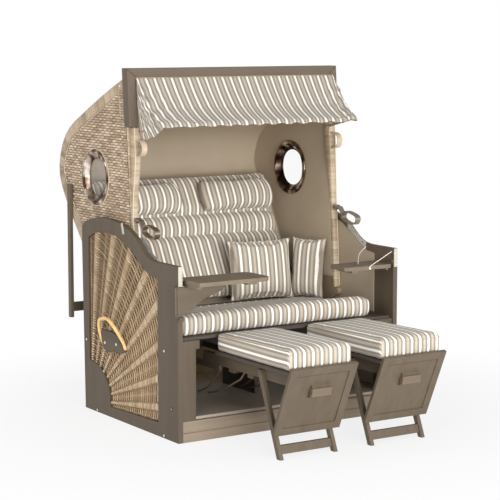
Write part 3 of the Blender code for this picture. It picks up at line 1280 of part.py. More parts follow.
def awning_cloth():
    """Continuous sheet with hanging folds across its width and a gusset at each end."""
    half = AWNING_WIDTH / 2
    main = 24
    gusset = 4
    geometry = bmesh.new()
    rows = awning_rows()
    points = []
    for number, (y, z) in enumerate(rows):
        line = []
        travel = (BOW_PIVOT_Y - y) / (BOW_PIVOT_Y - BOW_BAR_Y)
        arm_z = BOW_PIVOT_Z + (BOW_BAR_Z - BOW_PIVOT_Z) * max(0, min(1, travel))
        hem_z = min(arm_z - AWNING_HEM, z - AWNING_THICK * 2)
        loose = math.sin(math.pi * min(1, number / (len(AWNING_DROP_SHARES) - 1)))
        for k in range(gusset):
            line.append(Vector((-half, y, hem_z + (z - hem_z) * k / gusset)))
        for k in range(main + 1):
            t = k / main
            wave = AWNING_WAVE * loose * math.sin(2 * math.pi * 5.5 * t) * (1 - t * 0.5)
            sag = AWNING_WAVE * 2 * loose * math.sin(math.pi * t)
            line.append(Vector((-half + 2 * half * t, y, z + wave - sag)))
        for k in range(gusset):
            line.append(Vector((half, y, z + (hem_z - z) * (k + 1) / gusset)))
        for point in line:
            point.y = min(point.y, hood_front(point.z) - AWNING_THICK * 2)
        points.append(line)
    wide = len(points[0])
    tall = len(points)
    upper = []
    lower = []
    for i in range(tall):
        top_row = []
        low_row = []
        for j in range(wide):
            across = points[i][min(j + 1, wide - 1)] - points[i][max(j - 1, 0)]
            down = points[min(i + 1, tall - 1)][j] - points[max(i - 1, 0)][j]
            normal = across.cross(down).normalized()
            if normal.length < 1 / 2:
                normal = Vector((0, 0, 1))
            top_row.append(geometry.verts.new(points[i][j] - normal * AWNING_THICK))
            low_row.append(geometry.verts.new(points[i][j]))
        upper.append(top_row)
        lower.append(low_row)
    for i in range(tall - 1):
        for j in range(wide - 1):
            geometry.faces.new((upper[i][j], upper[i + 1][j], upper[i + 1][j + 1], upper[i][j + 1]))
            geometry.faces.new((lower[i][j], lower[i][j + 1], lower[i + 1][j + 1], lower[i + 1][j]))
    for i in range(tall - 1):
        for j in (0, wide - 1):
            geometry.faces.new((upper[i][j], lower[i][j], lower[i + 1][j], upper[i + 1][j]))
    for j in range(wide - 1):
        for i in (0, tall - 1):
            geometry.faces.new((upper[i][j], upper[i][j + 1], lower[i][j + 1], lower[i][j]))
    return mesh_object("awning", geometry)


finish(awning_cloth(), "awning_cloth", "hood", "stripe_cloth")

# Footrests
flap_back_top = Vector((0, FLAP_TOP_Y, FLAP_TOP_Z)) + FLAP_IN * FLAP_THICK
flap_back_foot = Vector((0, FLAP_FOOT_Y, FLAP_FOOT_Z)) + FLAP_IN * FLAP_THICK


def flap_back_y(z):
    """Y of the flap's rear face at a height."""
    share = (z - flap_back_foot.z) / (flap_back_top.z - flap_back_foot.z)
    return flap_back_foot.y + (flap_back_top.y - flap_back_foot.y) * share


leg_way = Vector((0, FOOT_PIVOT_Y - FOOT_FLOOR_Y, FOOT_PIVOT_Z))
leg_slope = leg_way.y / leg_way.z
leg_half_y = FOOT_LEG_DEPTH / 2 * leg_way.length / leg_way.z


def leg_y(z):
    return FOOT_FLOOR_Y + leg_slope * z


for side_name, sign in SIDES:
    body = "footrest_slide_" + side_name
    centre_x = sign * FOOT_X
    half_flap = FLAP_WIDTH / 2
    face = [Vector((0, FLAP_FOOT_Y, FLAP_FOOT_Z)), Vector((0, FLAP_TOP_Y, FLAP_TOP_Z)),
            flap_back_top, flap_back_foot]
    flap = prism([(p.y, p.z) for p in face], "x", centre_x - half_flap, centre_x + half_flap)
    recess_low = face[0] + FLAP_UP * FLAP_BORDER
    recess_high = face[1] - FLAP_UP * FLAP_BORDER
    recess = [recess_low - FLAP_IN * CUT_OVER, recess_high - FLAP_IN * CUT_OVER,
              recess_high + FLAP_IN * FLAP_RECESS, recess_low + FLAP_IN * FLAP_RECESS]
    cut(flap, prism([(p.y, p.z) for p in recess], "x", centre_x - half_flap + FLAP_BORDER,
                    centre_x + half_flap - FLAP_BORDER))
    grip_middle = face[1] - FLAP_UP * GRIP_DOWN
    grip_low = grip_middle - FLAP_UP * GRIP_HEIGHT / 2
    grip_high = grip_middle + FLAP_UP * GRIP_HEIGHT / 2
    grip_out = FLAP_IN * (FLAP_RECESS - GRIP_THICK)
    grip = prism([(p.y, p.z) for p in (grip_low + FLAP_IN * (FLAP_RECESS + WELD),
                                       grip_low + grip_out + FLAP_UP * GRIP_THICK / 2,
                                       grip_high + grip_out - FLAP_UP * GRIP_THICK / 2,
                                       grip_high + FLAP_IN * (FLAP_RECESS + WELD))],
                 "x", centre_x - GRIP_WIDTH / 2, centre_x + GRIP_WIDTH / 2)
    fuse(flap, grip)
    finish(flap, "footrest_flap_" + side_name, body, "front_wood")

    deck_foot = DECK_TOP - DECK_THICK
    deck_front = flap_back_y(deck_foot) + SEAT_GAP
    deck = box((centre_x - half_flap, centre_x + half_flap), (deck_front, DECK_REAR),
               (deck_foot, DECK_TOP))
    rail_inner = RAIL_OUT - RAIL_THICK
    battens = []
    for share in (0.08, 0.50, 0.92):
        place = deck_front + (DECK_REAR - deck_front) * share
        battens.append(box((centre_x - RAIL_OUT + WELD, centre_x + RAIL_OUT - WELD),
                           (place - DECK_BATTEN_DEPTH / 2, place + DECK_BATTEN_DEPTH / 2),
                           (RAIL_TOP + SEAT_GAP, deck_foot + WELD)))
    fuse(deck, *battens)
    finish(deck, "footrest_deck_" + side_name, body, "dark_board")

    rail_line = [(flap_back_y(RAIL_FOOT) + SEAT_GAP * 2, RAIL_FOOT), (RUNNER_END, RAIL_FOOT),
                 (RUNNER_END, RAIL_TOP), (flap_back_y(RAIL_TOP) + SEAT_GAP * 2, RAIL_TOP)]
    rails = [prism(rail_line, "x", centre_x + way * rail_inner, centre_x + way * RAIL_OUT)
             for way in (-1, 1)]
    frame = rails[0]
    pieces = [rails[1]]
    batten_reach = RAIL_OUT - GUIDE_WIDTH - RUN_GAP
    for place in (BATTEN_FRONT_Y, BATTEN_REAR_Y):
        pieces.append(box((centre_x - batten_reach, centre_x + batten_reach),
                          (place - BATTEN_DEPTH / 2, place + BATTEN_DEPTH / 2),
                          (RAIL_FOOT - BATTEN_HEIGHT, RAIL_FOOT + WELD)))
    for way in (-1, 1):
        rod_x = centre_x + way * (rail_inner + ROD_RADIUS / 3)
        for table in (ROD_REAR_SHARES, ROD_FRONT_SHARES):
            path = [(rod_x, ROD_REACH * along, RAIL_FOOT + ROD_DROP * up) for along, up in table]
            pieces.append(sweep(curve_through(path, 2), circle(ROD_RADIUS, 6), side=(1, 0, 0)))
    # The exact solver drops the rails here, the manifold one keeps them.
    combine(frame, pieces, "UNION", "MANIFOLD")
    bores = [rod((centre_x + way * (rail_inner - CUT_OVER), FOOT_PIVOT_Y, FOOT_PIVOT_Z),
                 (centre_x + way * (RAIL_OUT + CUT_OVER), FOOT_PIVOT_Y, FOOT_PIVOT_Z),
                 FOOT_PIN + RUN_GAP / 2, 10) for way in (-1, 1)]
    cut(frame, *bores)
    finish(frame, "footrest_frame_" + side_name, body, "side_wood")

    depth = FOOT_CUSHION_REAR - FOOT_CUSHION_FRONT
    half = (half_flap, depth / 2, FOOT_CUSHION_THICK / 2)
    crown = FOOT_CUSHION_THICK / 6
    flat = (half[0], half[1], half[2] - crown / 2)
    foot_half = half
    foot_crown = crown

    def foot_shape(place):
        """Crown that is fuller towards the front, over a flat underside."""
        u = place.x / foot_half[0]
        v = place.y / foot_half[1]
        rise = max(place.z / foot_half[2], 0)
        slope = -foot_crown * v * 0.7 * rise
        swell = rise * foot_crown * (1 - u ** 4) * (1 - v ** 4) * 0.8
        return Vector((place.x - foot_crown * u * (1 - v * v) / 4,
                       place.y - foot_crown * v * (1 - u * u) / 4, place.z + swell + slope))

    cushion = soft_block(flat, FOOT_CUSHION_THICK / 3.2, (5, 7, 2), foot_shape)
    stand(cushion, (centre_x, FOOT_CUSHION_FRONT + depth / 2, DECK_TOP + SEAT_GAP + flat[2]),
          X_AXIS, Y_AXIS, Z_AXIS)
    finish(cushion, "footrest_cushion_" + side_name, body, "stripe_cloth")

    leg_in = RAIL_OUT + FOOT_LEG_GAP
    leg_out = leg_in + FOOT_LEG_THICK
    top_z = FOOT_PIVOT_Z + FOOT_LEG_OVER
    leg_line = [(leg_y(0) - leg_half_y, 0), (leg_y(0) + leg_half_y, 0),
                (leg_y(top_z) + leg_half_y, top_z), (leg_y(top_z) - leg_half_y, top_z)]
    legs = [prism(leg_line, "x", centre_x + way * leg_in, centre_x + way * leg_out) for way in (-1, 1)]
    bar_low = FOOT_BAR_Z - FOOT_BAR_HEIGHT / 2
    bar_high = FOOT_BAR_Z + FOOT_BAR_HEIGHT / 2
    bar_half = FOOT_BAR_THICK / 2
    bar_line = [(leg_y(bar_low) - bar_half, bar_low), (leg_y(bar_low) + bar_half, bar_low),
                (leg_y(bar_high) + bar_half, bar_high), (leg_y(bar_high) - bar_half, bar_high)]
    crossbar = prism(bar_line, "x", centre_x - leg_in - WELD, centre_x + leg_in + WELD)
    pins = [rod((centre_x + way * (leg_in + WELD), FOOT_PIVOT_Y, FOOT_PIVOT_Z),
                (centre_x + way * (rail_inner + WELD), FOOT_PIVOT_Y, FOOT_PIVOT_Z), FOOT_PIN, 10)
            for way in (-1, 1)]
    heads = [rod((centre_x + way * (leg_out - WELD), FOOT_PIVOT_Y, FOOT_PIVOT_Z),
                 (centre_x + way * (leg_out + BOLT_RISE), FOOT_PIVOT_Y, FOOT_PIVOT_Z), BOLT_RADIUS, 10)
             for way in (-1, 1)]
    fuse(legs[0], legs[1], crossbar, *pins, *heads)
    finish(legs[0], "leg_frame_" + side_name, "leg_hinge_" + side_name, "side_wood")

# Tables, gusset bracket and cords
for side_name, sign in SIDES:
    outer = TABLE_HINGE - TABLE_EDGE_GAP
    corner = TABLE_CORNER
    outline = ((sign * outer, TABLE_FRONT), (sign * outer, TABLE_REAR),
               (sign * (TABLE_INNER + corner), TABLE_REAR),
               (sign * TABLE_INNER, TABLE_REAR - corner), (sign * TABLE_INNER, TABLE_FRONT + corner),
               (sign * (TABLE_INNER + corner), TABLE_FRONT))
    table = prism(outline, "z", TABLE_TOP - TABLE_THICK, TABLE_TOP)
    cleat_foot = TABLE_TOP - TABLE_THICK - TABLE_CLEAT_DROP
    cleats = []
    for place, width in ((TABLE_CLEAT_X, TABLE_CLEAT_WIDTH),
                         (TABLE_CLEAT_INNER_X, TABLE_CLEAT_INNER_WIDTH)):
        cleats.append(box((sign * (place - width / 2), sign * (place + width / 2)),
                          (TABLE_FRONT + corner, TABLE_REAR - corner),
                          (cleat_foot, TABLE_TOP - TABLE_THICK + WELD)))
    barrel_low = TABLE_LUG + 2 * RUN_GAP
    barrel_high = TABLE_REAR - TABLE_LUG - RUN_GAP
    barrel = rod((sign * TABLE_HINGE, barrel_low, TABLE_TOP),
                 (sign * TABLE_HINGE, barrel_high, TABLE_TOP), TABLE_BARREL, 10)
    link = box((sign * (outer - WELD), sign * TABLE_HINGE), (barrel_low, barrel_high),
               (TABLE_TOP - TABLE_BARREL, TABLE_TOP - TABLE_PIN))
    fuse(table, barrel, link, *cleats)
    bore = rod((sign * TABLE_HINGE, barrel_low - CUT_OVER, TABLE_TOP),
               (sign * TABLE_HINGE, barrel_high + CUT_OVER, TABLE_TOP), TABLE_PIN + SEAT_GAP, 10)
    cut(table, bore)
    finish(table, "side_table_" + side_name, "table_hinge_" + side_name, "front_wood")

bracket_reach = BRACKET_AXIS_X - BRACKET_REACH
bracket_back = -SEAT_GAP - CORNER_CAP_THICK / 6
bracket_points = scaled(BRACKET_SHARES, bracket_reach - BRACKET_KNUCKLE / 2, BRACKET_TOP - BRACKET_FOOT,
                        -BRACKET_AXIS_X + BRACKET_KNUCKLE / 2, BRACKET_FOOT)
bracket = prism(bracket_points, "y", bracket_back - BRACKET_THICK, bracket_back)
knuckle = rod((-BRACKET_AXIS_X, BRACKET_AXIS_Y, BRACKET_FOOT),
              (-BRACKET_AXIS_X, BRACKET_AXIS_Y, BRACKET_TOP), BRACKET_KNUCKLE, 12)
fuse(bracket, knuckle)
bore = rod((-BRACKET_AXIS_X, BRACKET_AXIS_Y, BRACKET_FOOT - CUT_OVER),
           (-BRACKET_AXIS_X, BRACKET_AXIS_Y, BRACKET_TOP + CUT_OVER), BRACKET_PIN + SEAT_GAP, 8)
cut(bracket, bore)
finish(bracket, "gusset_bracket", "bracket_hinge", "front_wood")

knob_z = TABLE_TOP - TABLE_THICK / 2
cord_ends = (
    ("table_cord_front", (INNER_FIT - CORD_RADIUS, CORD_FRONT_Y, CORD_FRONT_Z),
     (CORD_FRONT_KNOB_X, TABLE_FRONT - SEAT_GAP - CORD_KNOB, knob_z)),
    ("table_cord_rear", (LINING_INNER - SEAT_GAP - CORD_RADIUS, CORD_REAR_Y, CORD_REAR_Z),
     (CORD_REAR_KNOB_X, TABLE_REAR + SEAT_GAP + CORD_KNOB, knob_z)),
)
for name, start, end in cord_ends:
    bend = Vector(end) + (Vector(start) - Vector(end)) * CORD_KNOB / BEAM_FRONT
    bend.z = TABLE_TOP + CORD_RADIUS * 3
    bend.y = end[1] + (CORD_KNOB / 2 if end[1] < 0 else CORD_KNOB / 4)
    cord = sweep([start, bend, end], circle(CORD_RADIUS, 6), side=(0, 0, 1))
    anchor = box((start[0] - CORD_KNOB, start[0] + CORD_RADIUS),
                 (start[1] - CORD_KNOB, start[1] + CORD_KNOB),
                 (start[2] - CORD_KNOB, start[2] + CORD_KNOB))
    knob = soft_block((CORD_KNOB, CORD_KNOB, CORD_KNOB), CORD_KNOB * 0.7, (1, 1, 1))
    knob.data.transform(Matrix.Translation(Vector(end)))
    fuse(cord, anchor, knob)
    finish(cord, name, "base", "white_cord")
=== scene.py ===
import math

import bmesh
import bpy
import numpy as np
from mathutils import Matrix, Vector
from mathutils.bvhtree import BVHTree


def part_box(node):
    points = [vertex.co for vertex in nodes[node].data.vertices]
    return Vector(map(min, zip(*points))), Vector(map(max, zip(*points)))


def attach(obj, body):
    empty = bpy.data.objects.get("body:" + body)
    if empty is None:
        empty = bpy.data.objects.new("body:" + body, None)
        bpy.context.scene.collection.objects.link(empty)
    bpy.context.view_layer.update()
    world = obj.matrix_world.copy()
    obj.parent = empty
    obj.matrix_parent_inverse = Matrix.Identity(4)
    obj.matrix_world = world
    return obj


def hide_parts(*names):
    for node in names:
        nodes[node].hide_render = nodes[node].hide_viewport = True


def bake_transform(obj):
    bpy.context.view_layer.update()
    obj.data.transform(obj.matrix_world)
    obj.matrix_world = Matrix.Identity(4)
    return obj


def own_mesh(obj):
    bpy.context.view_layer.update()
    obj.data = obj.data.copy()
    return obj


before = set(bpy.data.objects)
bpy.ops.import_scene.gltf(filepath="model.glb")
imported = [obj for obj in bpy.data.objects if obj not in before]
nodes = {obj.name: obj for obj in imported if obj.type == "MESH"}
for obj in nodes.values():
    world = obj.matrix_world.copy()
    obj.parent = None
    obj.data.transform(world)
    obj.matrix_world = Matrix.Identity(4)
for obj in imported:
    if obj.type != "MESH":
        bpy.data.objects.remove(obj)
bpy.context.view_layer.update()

chance = np.random.default_rng(7)

SIDES = (("left", -1), ("right", 1))
X_AXIS = Vector((1, 0, 0))
Z_AXIS = Vector((0, 0, 1))

# Camera of the photograph
PHOTO_SIZE = 500
CAMERA_PLACE = Vector((-4.2126, -6.4639, 1.7628))
CAMERA_AZIMUTH = -32.766
CAMERA_ELEVATION = 7.459
FOCAL_PIXELS = 1700.96
OPTICAL_CENTRE = (247.40, 253.89)
SENSOR = 36

# Striped cloth, one repeat of white, taupe, beige and taupe
STRIPE_PERIOD = 0.0444
STRIPE_WHITE = 0.235
STRIPE_TAUPE = 0.25
STRIPE_EDGE = 0.012

# Seat and back planes of the upholstery
BACK_FOOT = Vector((0, 0.378, 0.496))
BACK_HEAD = Vector((0, 0.685, 1.058))
BACK_UP = (BACK_HEAD - BACK_FOOT).normalized()
BACK_OUT = Vector((0, -BACK_UP.z, BACK_UP.y))
BACK_LENGTH = (BACK_HEAD - BACK_FOOT).length

# Simulation of padded pieces
PAD_FRAMES = 20
PAD_PRESSURE = 4.0


def srgb(code):
    """Linear colour of a six-digit web colour."""
    values = [int(code[k:k + 2], 16) / 255 for k in (0, 2, 4)]
    return tuple(v / 12.92 if v <= 0.04045 else ((v + 0.055) / 1.055) ** 2.4 for v in values)


# Materials

class Tree:
    """Short words for building one node tree."""

    def __init__(self, name, roughness=0.6, metallic=0.0):
        self.material = bpy.data.materials.new(name)
        self.material.use_nodes = True
        self.nodes = self.material.node_tree.nodes
        self.links = self.material.node_tree.links
        self.shader = self.nodes["Principled BSDF"]
        self.shader.inputs["Roughness"].default_value = roughness
        self.shader.inputs["Metallic"].default_value = metallic

    def link(self, source, target):
        """Connect a socket, or set a plain value."""
        if isinstance(source, (int, float)):
            target.default_value = source
        elif isinstance(source, tuple):
            target.default_value = source if len(source) == len(target.default_value) else (*source, 1)
        else:
            self.links.new(source, target)

    def place(self, scale=(1, 1, 1)):
        """Object coordinates, stretched."""
        coordinates = self.nodes.new("ShaderNodeTexCoord")
        mapping = self.nodes.new("ShaderNodeMapping")
        mapping.inputs["Scale"].default_value = scale
        self.links.new(coordinates.outputs["Object"], mapping.inputs["Vector"])
        return mapping.outputs["Vector"]

    def attribute(self, name):
        node = self.nodes.new("ShaderNodeAttribute")
        node.attribute_name = name
        return node.outputs["Fac"]

    def noise(self, scale, detail=3, vector=None, roughness=0.5):
        node = self.nodes.new("ShaderNodeTexNoise")
        node.inputs["Scale"].default_value = scale
        node.inputs["Detail"].default_value = detail
        node.inputs["Roughness"].default_value = roughness
        self.links.new(vector if vector is not None else self.place(), node.inputs["Vector"])
        return node.outputs["Fac"]

    def math(self, operation, first, second=0.0):
        node = self.nodes.new("ShaderNodeMath")
        node.operation = operation
        self.link(first, node.inputs[0])
        self.link(second, node.inputs[1])
        return node.outputs[0]

    def ramp(self, factor, stops, interpolation="LINEAR"):
        node = self.nodes.new("ShaderNodeValToRGB")
        node.color_ramp.interpolation = interpolation
        elements = node.color_ramp.elements
        while len(elements) < len(stops):
            elements.new(0.5)
        for element, (position, colour) in zip(elements, stops):
            element.position = position
            element.color = (*colour, 1)
        self.link(factor, node.inputs["Fac"])
        return node.outputs["Color"]

    def mix(self, factor, first, second, blend="MIX"):
        node = self.nodes.new("ShaderNodeMix")
        node.data_type = "RGBA"
        node.blend_type = blend
        self.link(factor, node.inputs["Factor"])
        self.link(first, node.inputs[6])
        self.link(second, node.inputs[7])
        return node.outputs[2]

    def colour(self, value):
        self.link(value, self.shader.inputs["Base Color"])

    def bump(self, height, strength, distance):
        node = self.nodes.new("ShaderNodeBump")
        node.inputs["Strength"].default_value = strength
        node.inputs["Distance"].default_value = distance
        self.link(height, node.inputs["Height"])
        self.links.new(node.outputs["Normal"], self.shader.inputs["Normal"])

    def rough(self, value):
        self.link(value, self.shader.inputs["Roughness"])


def shade(colour, factor):
    return tuple(min(1.0, c * factor) for c in colour)


def wood(name, colour, grain, rough=0.55):
    """Oiled hardwood whose grain runs along one axis."""
    tree = Tree(name)
    along = {"x": (1.2, 26, 26), "y": (26, 1.2, 26), "z": (26, 26, 1.2)}[grain]
    fine = {"x": (6, 260, 260), "y": (260, 6, 260), "z": (260, 260, 6)}[grain]
    broad = tree.noise(1.0, 4, tree.place(along), 0.6)
    pores = tree.noise(1.0, 2, tree.place(fine), 0.6)
    stain = tree.noise(2.2, 3)
    base = tree.ramp(broad, ((0.25, shade(colour, 0.74)), (0.5, colour), (0.78, shade(colour, 1.26))))
    base = tree.mix(tree.math("MULTIPLY", tree.math("SUBTRACT", 0.62, pores), 0.9), base,
                    shade(colour, 0.45))
    base = tree.mix(0.35, base, tree.ramp(stain, ((0.3, shade(colour, 0.82)), (0.7, shade(colour, 1.2)))))
    tree.colour(base)
    tree.rough(tree.math("ADD", rough - 0.1, tree.math("MULTIPLY", pores, 0.25)))
    tree.bump(tree.math("ADD", tree.math("MULTIPLY", broad, 0.5), pores), 0.22, 0.0012)
    return tree.material


def board(name, colour, rough=0.6):
    """Plain laminated board with a fine linen emboss."""
    tree = Tree(name, rough)
    mottle = tree.noise(3.0, 3)
    speckle = tree.noise(420, 2)
    base = tree.ramp(mottle, ((0.3, shade(colour, 0.93)), (0.7, shade(colour, 1.07))))
    base = tree.mix(tree.math("MULTIPLY", speckle, 0.3), base, shade(colour, 0.78))
    tree.colour(base)
    tree.bump(speckle, 0.15, 0.0006)
    return tree.material


def striped_cloth(name, light=1.0):
    """Woven outdoor cloth. The stripes follow the attribute stripe, in metres across the cloth."""
    # light scales every colour; below 1 it is a painted shade, used for the awning
    white = shade(srgb("FFFCF4"), light)
    taupe = shade(srgb("958A7C"), light)
    beige = shade(srgb("C2B6A5"), light)
    tree = Tree(name, 0.92)
    repeat = tree.math("FRACT", tree.math("DIVIDE", tree.attribute("stripe"), STRIPE_PERIOD))
    first = STRIPE_WHITE
    second = STRIPE_WHITE + STRIPE_TAUPE
    third = 1 - STRIPE_TAUPE
    edge = STRIPE_EDGE
    pattern = tree.ramp(repeat, (
        (0, white), (first - edge, white), (first + edge, taupe), (second - 3 * edge, taupe),
        (second + 3 * edge, beige), (third - 3 * edge, beige), (third + 3 * edge, taupe),
        (1 - 2 * edge, taupe), (1, white)))
    slub = tree.noise(1.0, 3, tree.place((90, 90, 900)), 0.7)
    cloud = tree.noise(7, 2)
    pattern = tree.mix(tree.math("MULTIPLY", slub, 0.15), pattern, shade(taupe, 0.8))
    pattern = tree.mix(tree.math("MULTIPLY", cloud, 0.06), pattern, shade(beige, 1.2))
    tree.colour(pattern)
    threads = tree.noise(1.0, 1, tree.place((1400, 300, 300)))
    cross = tree.noise(1.0, 1, tree.place((300, 1400, 1400)))
    tree.bump(tree.math("ADD", threads, cross), 0.30, 0.0006)
    tree.shader.inputs["Sheen Weight"].default_value = 0.15
    return tree.material


def strand(name, dark, middle, light, rough=0.55):
    """Woven plastic strand. The attribute tone gives each strand its colour; the attribute depth darkens it
    towards near-black, a painted shade for hollows and the backs of strands.
    """
    tree = Tree(name, rough)
    tone = tree.math("ADD", tree.attribute("tone"), tree.math("MULTIPLY", tree.noise(90, 2), 0.30))
    tone = tree.math("SUBTRACT", tone, 0.15)
    base = tree.ramp(tone, ((0.05, dark), (0.45, middle), (0.9, light)))
    # painted shade: depth mixes the colour towards the dark colour at 22 percent
    base = tree.mix(tree.attribute("depth"), base, shade(dark, 0.22))
    tree.colour(base)
    tree.bump(tree.noise(700, 2), 0.25, 0.0006)
    return tree.material


def metal(name, colour, rough, grain=60):
    tree = Tree(name, rough, 1.0)
    cloud = tree.noise(grain, 3)
    tree.colour(tree.ramp(cloud, ((0.3, shade(colour, 0.9)), (0.7, shade(colour, 1.05)))))
    tree.rough(tree.math("ADD", rough * 0.8, tree.math("MULTIPLY", cloud, rough * 0.5)))
    return tree.material


def mirror_bronze(name):
    """Polished bronze-tinted chrome with broad dark and bright patches painted into its colour: painted
    reflections.
    """
    tree = Tree(name, 0.12, 1.0)
    # painted reflections: noise patches from dark bronze to near-white
    patch = tree.noise(17, 1)
    tree.colour(tree.ramp(patch, ((0.40, srgb("34281F")), (0.51, srgb("7F6A5C")), (0.61, srgb("BFA997")),
                                  (0.72, srgb("F4EBE0")))))
    return tree.material


def cane_material(name):
    """Varnished cane with darker joints along its length."""
    light = srgb("F3C685")
    dark = srgb("C58A45")
    tree = Tree(name, 0.38)
    streak = tree.noise(1.0, 3, tree.place((30, 30, 220)), 0.6)
    tree.colour(tree.ramp(streak, ((0.25, dark), (0.5, light), (0.8, shade(light, 1.08)))))
    tree.bump(streak, 0.2, 0.001)
    tree.shader.inputs["Coat Weight"].default_value = 0.25
    return tree.material


def glass(name):
    """Clear pane that lets the view through and keeps a highlight."""
    tree = Tree(name, 0.03)
    cloud = tree.noise(3, 1)
    tree.colour(tree.ramp(cloud, ((0.3, (0.90, 0.93, 0.93)), (0.7, (0.97, 0.98, 0.98)))))
    tree.shader.inputs["Alpha"].default_value = 0.05
    tree.shader.inputs["Specular IOR Level"].default_value = 0.2
    return tree.material


SIDE_COLOUR = srgb("594C3C")
FRONT_COLOUR = srgb("605343")
# front wood made a little darker for the hood frame's beam and uprights, which face up into the light:
# painted shade
BEAM_COLOUR = srgb("5F5143")
TABLE_COLOUR = srgb("776957")
PLINTH_COLOUR = srgb("8F7F6C")
DARK_COLOUR = srgb("4A4038")
LINING_COLOUR = srgb("A99A85")

side_wood = wood("side_wood_upright", SIDE_COLOUR, "z")
side_wood_long = wood("side_wood_long", SIDE_COLOUR, "y")
front_upright = wood("front_wood_upright", FRONT_COLOUR, "z")
front_across = wood("front_wood_across", FRONT_COLOUR, "x")
table_wood = wood("table_wood", TABLE_COLOUR, "y")
dark_wood = wood("dark_wood", DARK_COLOUR, "x", 0.65)
beam_wood = wood("beam_wood", BEAM_COLOUR, "x")
beam_wood_upright = wood("beam_wood_upright", BEAM_COLOUR, "z")
# front wood 1.35 times lighter for the flap grips: painted light on their lit front faces
handle_wood = wood("flap_handle_wood", shade(FRONT_COLOUR, 1.35), "x")
bow_wood = wood("bow_wood", srgb("9A876B"), "y")
lining = board("lining_board", LINING_COLOUR)
# lighter copy of the lining for the right hood lining: painted light
lining_painted_lit = board("lining_board_painted_light", shade(LINING_COLOUR, 1.16))
cream = board("cream_cap", srgb("BFB8A8"), 0.5)
rear_tan = board("rear_tan", srgb("6B5836"), 0.7)
# near-black colour for the strip below each flap's upper rail: painted shadow
painted_shadow_line = board("painted_shadow_line", srgb("2E261F"), 0.9)
floor_lining = board("floor_lining", srgb("B9AC9B"), 0.5)
cloth = striped_cloth("striped_cloth")
# cloth at 83 percent for the awning, which faces up into the light: painted shade
awning_stripes_painted_shade = striped_cloth("awning_cloth", 0.83)
weave = strand("woven_strand", srgb("87735F"), srgb("BDA285"), srgb("E6D0B4"))
sun_weave = strand("sun_strand", srgb("8A7155"), srgb("C2A27B"), srgb("F0DAB8"))
trim_weave = strand("woven_trim", srgb("96826A"), srgb("B8A388"), srgb("D2C0A6"), 0.5)
# near-black strand for the sheets behind the sun panels and the roof weave, and for the rear panel: painted
# shadow
dark_weave = strand("woven_backing_painted_shadow", srgb("120D09"), srgb("1A130D"), srgb("241B13"), 0.9)
bright_zinc = metal("bolt_zinc", srgb("E4E1DA"), 0.30)
aluminium = metal("satin_aluminium", srgb("DADAD6"), 0.42)
bronze = metal("lever_metal", srgb("A69888"), 0.42)
chrome = mirror_bronze("chrome")
cane = cane_material("cane")
clear_glass = glass("porthole_glass")
cord_white = board("cord_white", srgb("EFEADD"), 0.7)


# Mesh helpers

def mesh_piece(name, points, faces, material, smooth=True):
    """Object from arrays of points and faces in the row frame."""
    mesh = bpy.data.meshes.new(name)
    mesh.from_pydata([tuple(p) for p in points], [], [tuple(f) for f in faces])
    mesh.materials.append(material)
    mesh.validate()
    thing = bpy.data.objects.new(name, mesh)
    bpy.context.scene.collection.objects.link(thing)
    if smooth:
        mesh.shade_smooth()
    return thing


def set_value(thing, name, values):
    """Number on each point, read by the material."""
    attribute = thing.data.attributes.get(name) or thing.data.attributes.new(name, "FLOAT", "POINT")
    attribute.data.foreach_set("value", np.asarray(values, np.float32))


def points_of(thing):
    places = np.zeros(len(thing.data.vertices) * 3, np.float32)
    thing.data.vertices.foreach_get("co", places)
    return places.reshape(-1, 3).astype(float)


def move_points(thing, places):
    thing.data.vertices.foreach_set("co", np.asarray(places, np.float32).ravel())
    thing.data.update()


def normals_of(thing):
    values = np.zeros(len(thing.data.vertices) * 3, np.float32)
    thing.data.vertex_normals.foreach_get("vector", values)
    return values.reshape(-1, 3).astype(float)


def bake(thing):
    """Apply every modifier on a piece."""
    view = bpy.context.evaluated_depsgraph_get()
    result = bpy.data.meshes.new_from_object(thing.evaluated_get(view), depsgraph=view)
    old = thing.data
    thing.modifiers.clear()
    thing.data = result
    bpy.data.meshes.remove(old)
    return thing


def tree_of(node):
    """Search tree of a CAD node."""
    mesh = nodes[node].data
    return BVHTree.FromPolygons([v.co for v in mesh.vertices], [tuple(p.vertices) for p in mesh.polygons])


def smooth_path(points, steps, closed=False):
    """Smooth curve through points."""
    places = [Vector(p) for p in points]
    count = len(places)
    result = []
    for index in range(count if closed else count - 1):
        one = places[index]
        two = places[(index + 1) % count]
        before = places[index - 1] if index or closed else one
        after = places[(index + 2) % count] if closed or index + 2 < count else two
        for step in range(steps):
            t = step / steps
            result.append((one * 2 + (two - before) * t + (before * 2 - one * 5 + two * 4 - after) * t ** 2
                           + (one * 3 - before - two * 3 + after) * t ** 3) / 2)
    if not closed:
        result.append(places[-1])
    return result


def tube(name, path, radius, material, steps=8, closed=False, radii=None):
    """Round bar along a path, with rounded ends where it is open."""
    places = [Vector(p) for p in path]
    count = len(places)
    points = []
    faces = []
    reference = None
    for index, place in enumerate(places):
        before = places[index - 1] if index or closed else place
        after = places[(index + 1) % count] if index + 1 < count or closed else place
        tangent = (after - before).normalized()
        if reference is None:
            reference = tangent.orthogonal().normalized()
        reference = (reference - tangent * tangent.dot(reference)).normalized()
        other = tangent.cross(reference)
        size = radius if radii is None else radii[index]
        for k in range(steps):
            turn = 2 * math.pi * k / steps
            points.append(place + reference * math.cos(turn) * size + other * math.sin(turn) * size)
    for index in range(count if closed else count - 1):
        one = index * steps
        two = ((index + 1) % count) * steps
        for k in range(steps):
            nxt = (k + 1) % steps
            faces.append((one + k, one + nxt, two + nxt, two + k))
    if not closed:
        faces.append(tuple(reversed(range(steps))))
        faces.append(tuple((count - 1) * steps + k for k in range(steps)))
    return mesh_piece(name, points, faces, material)


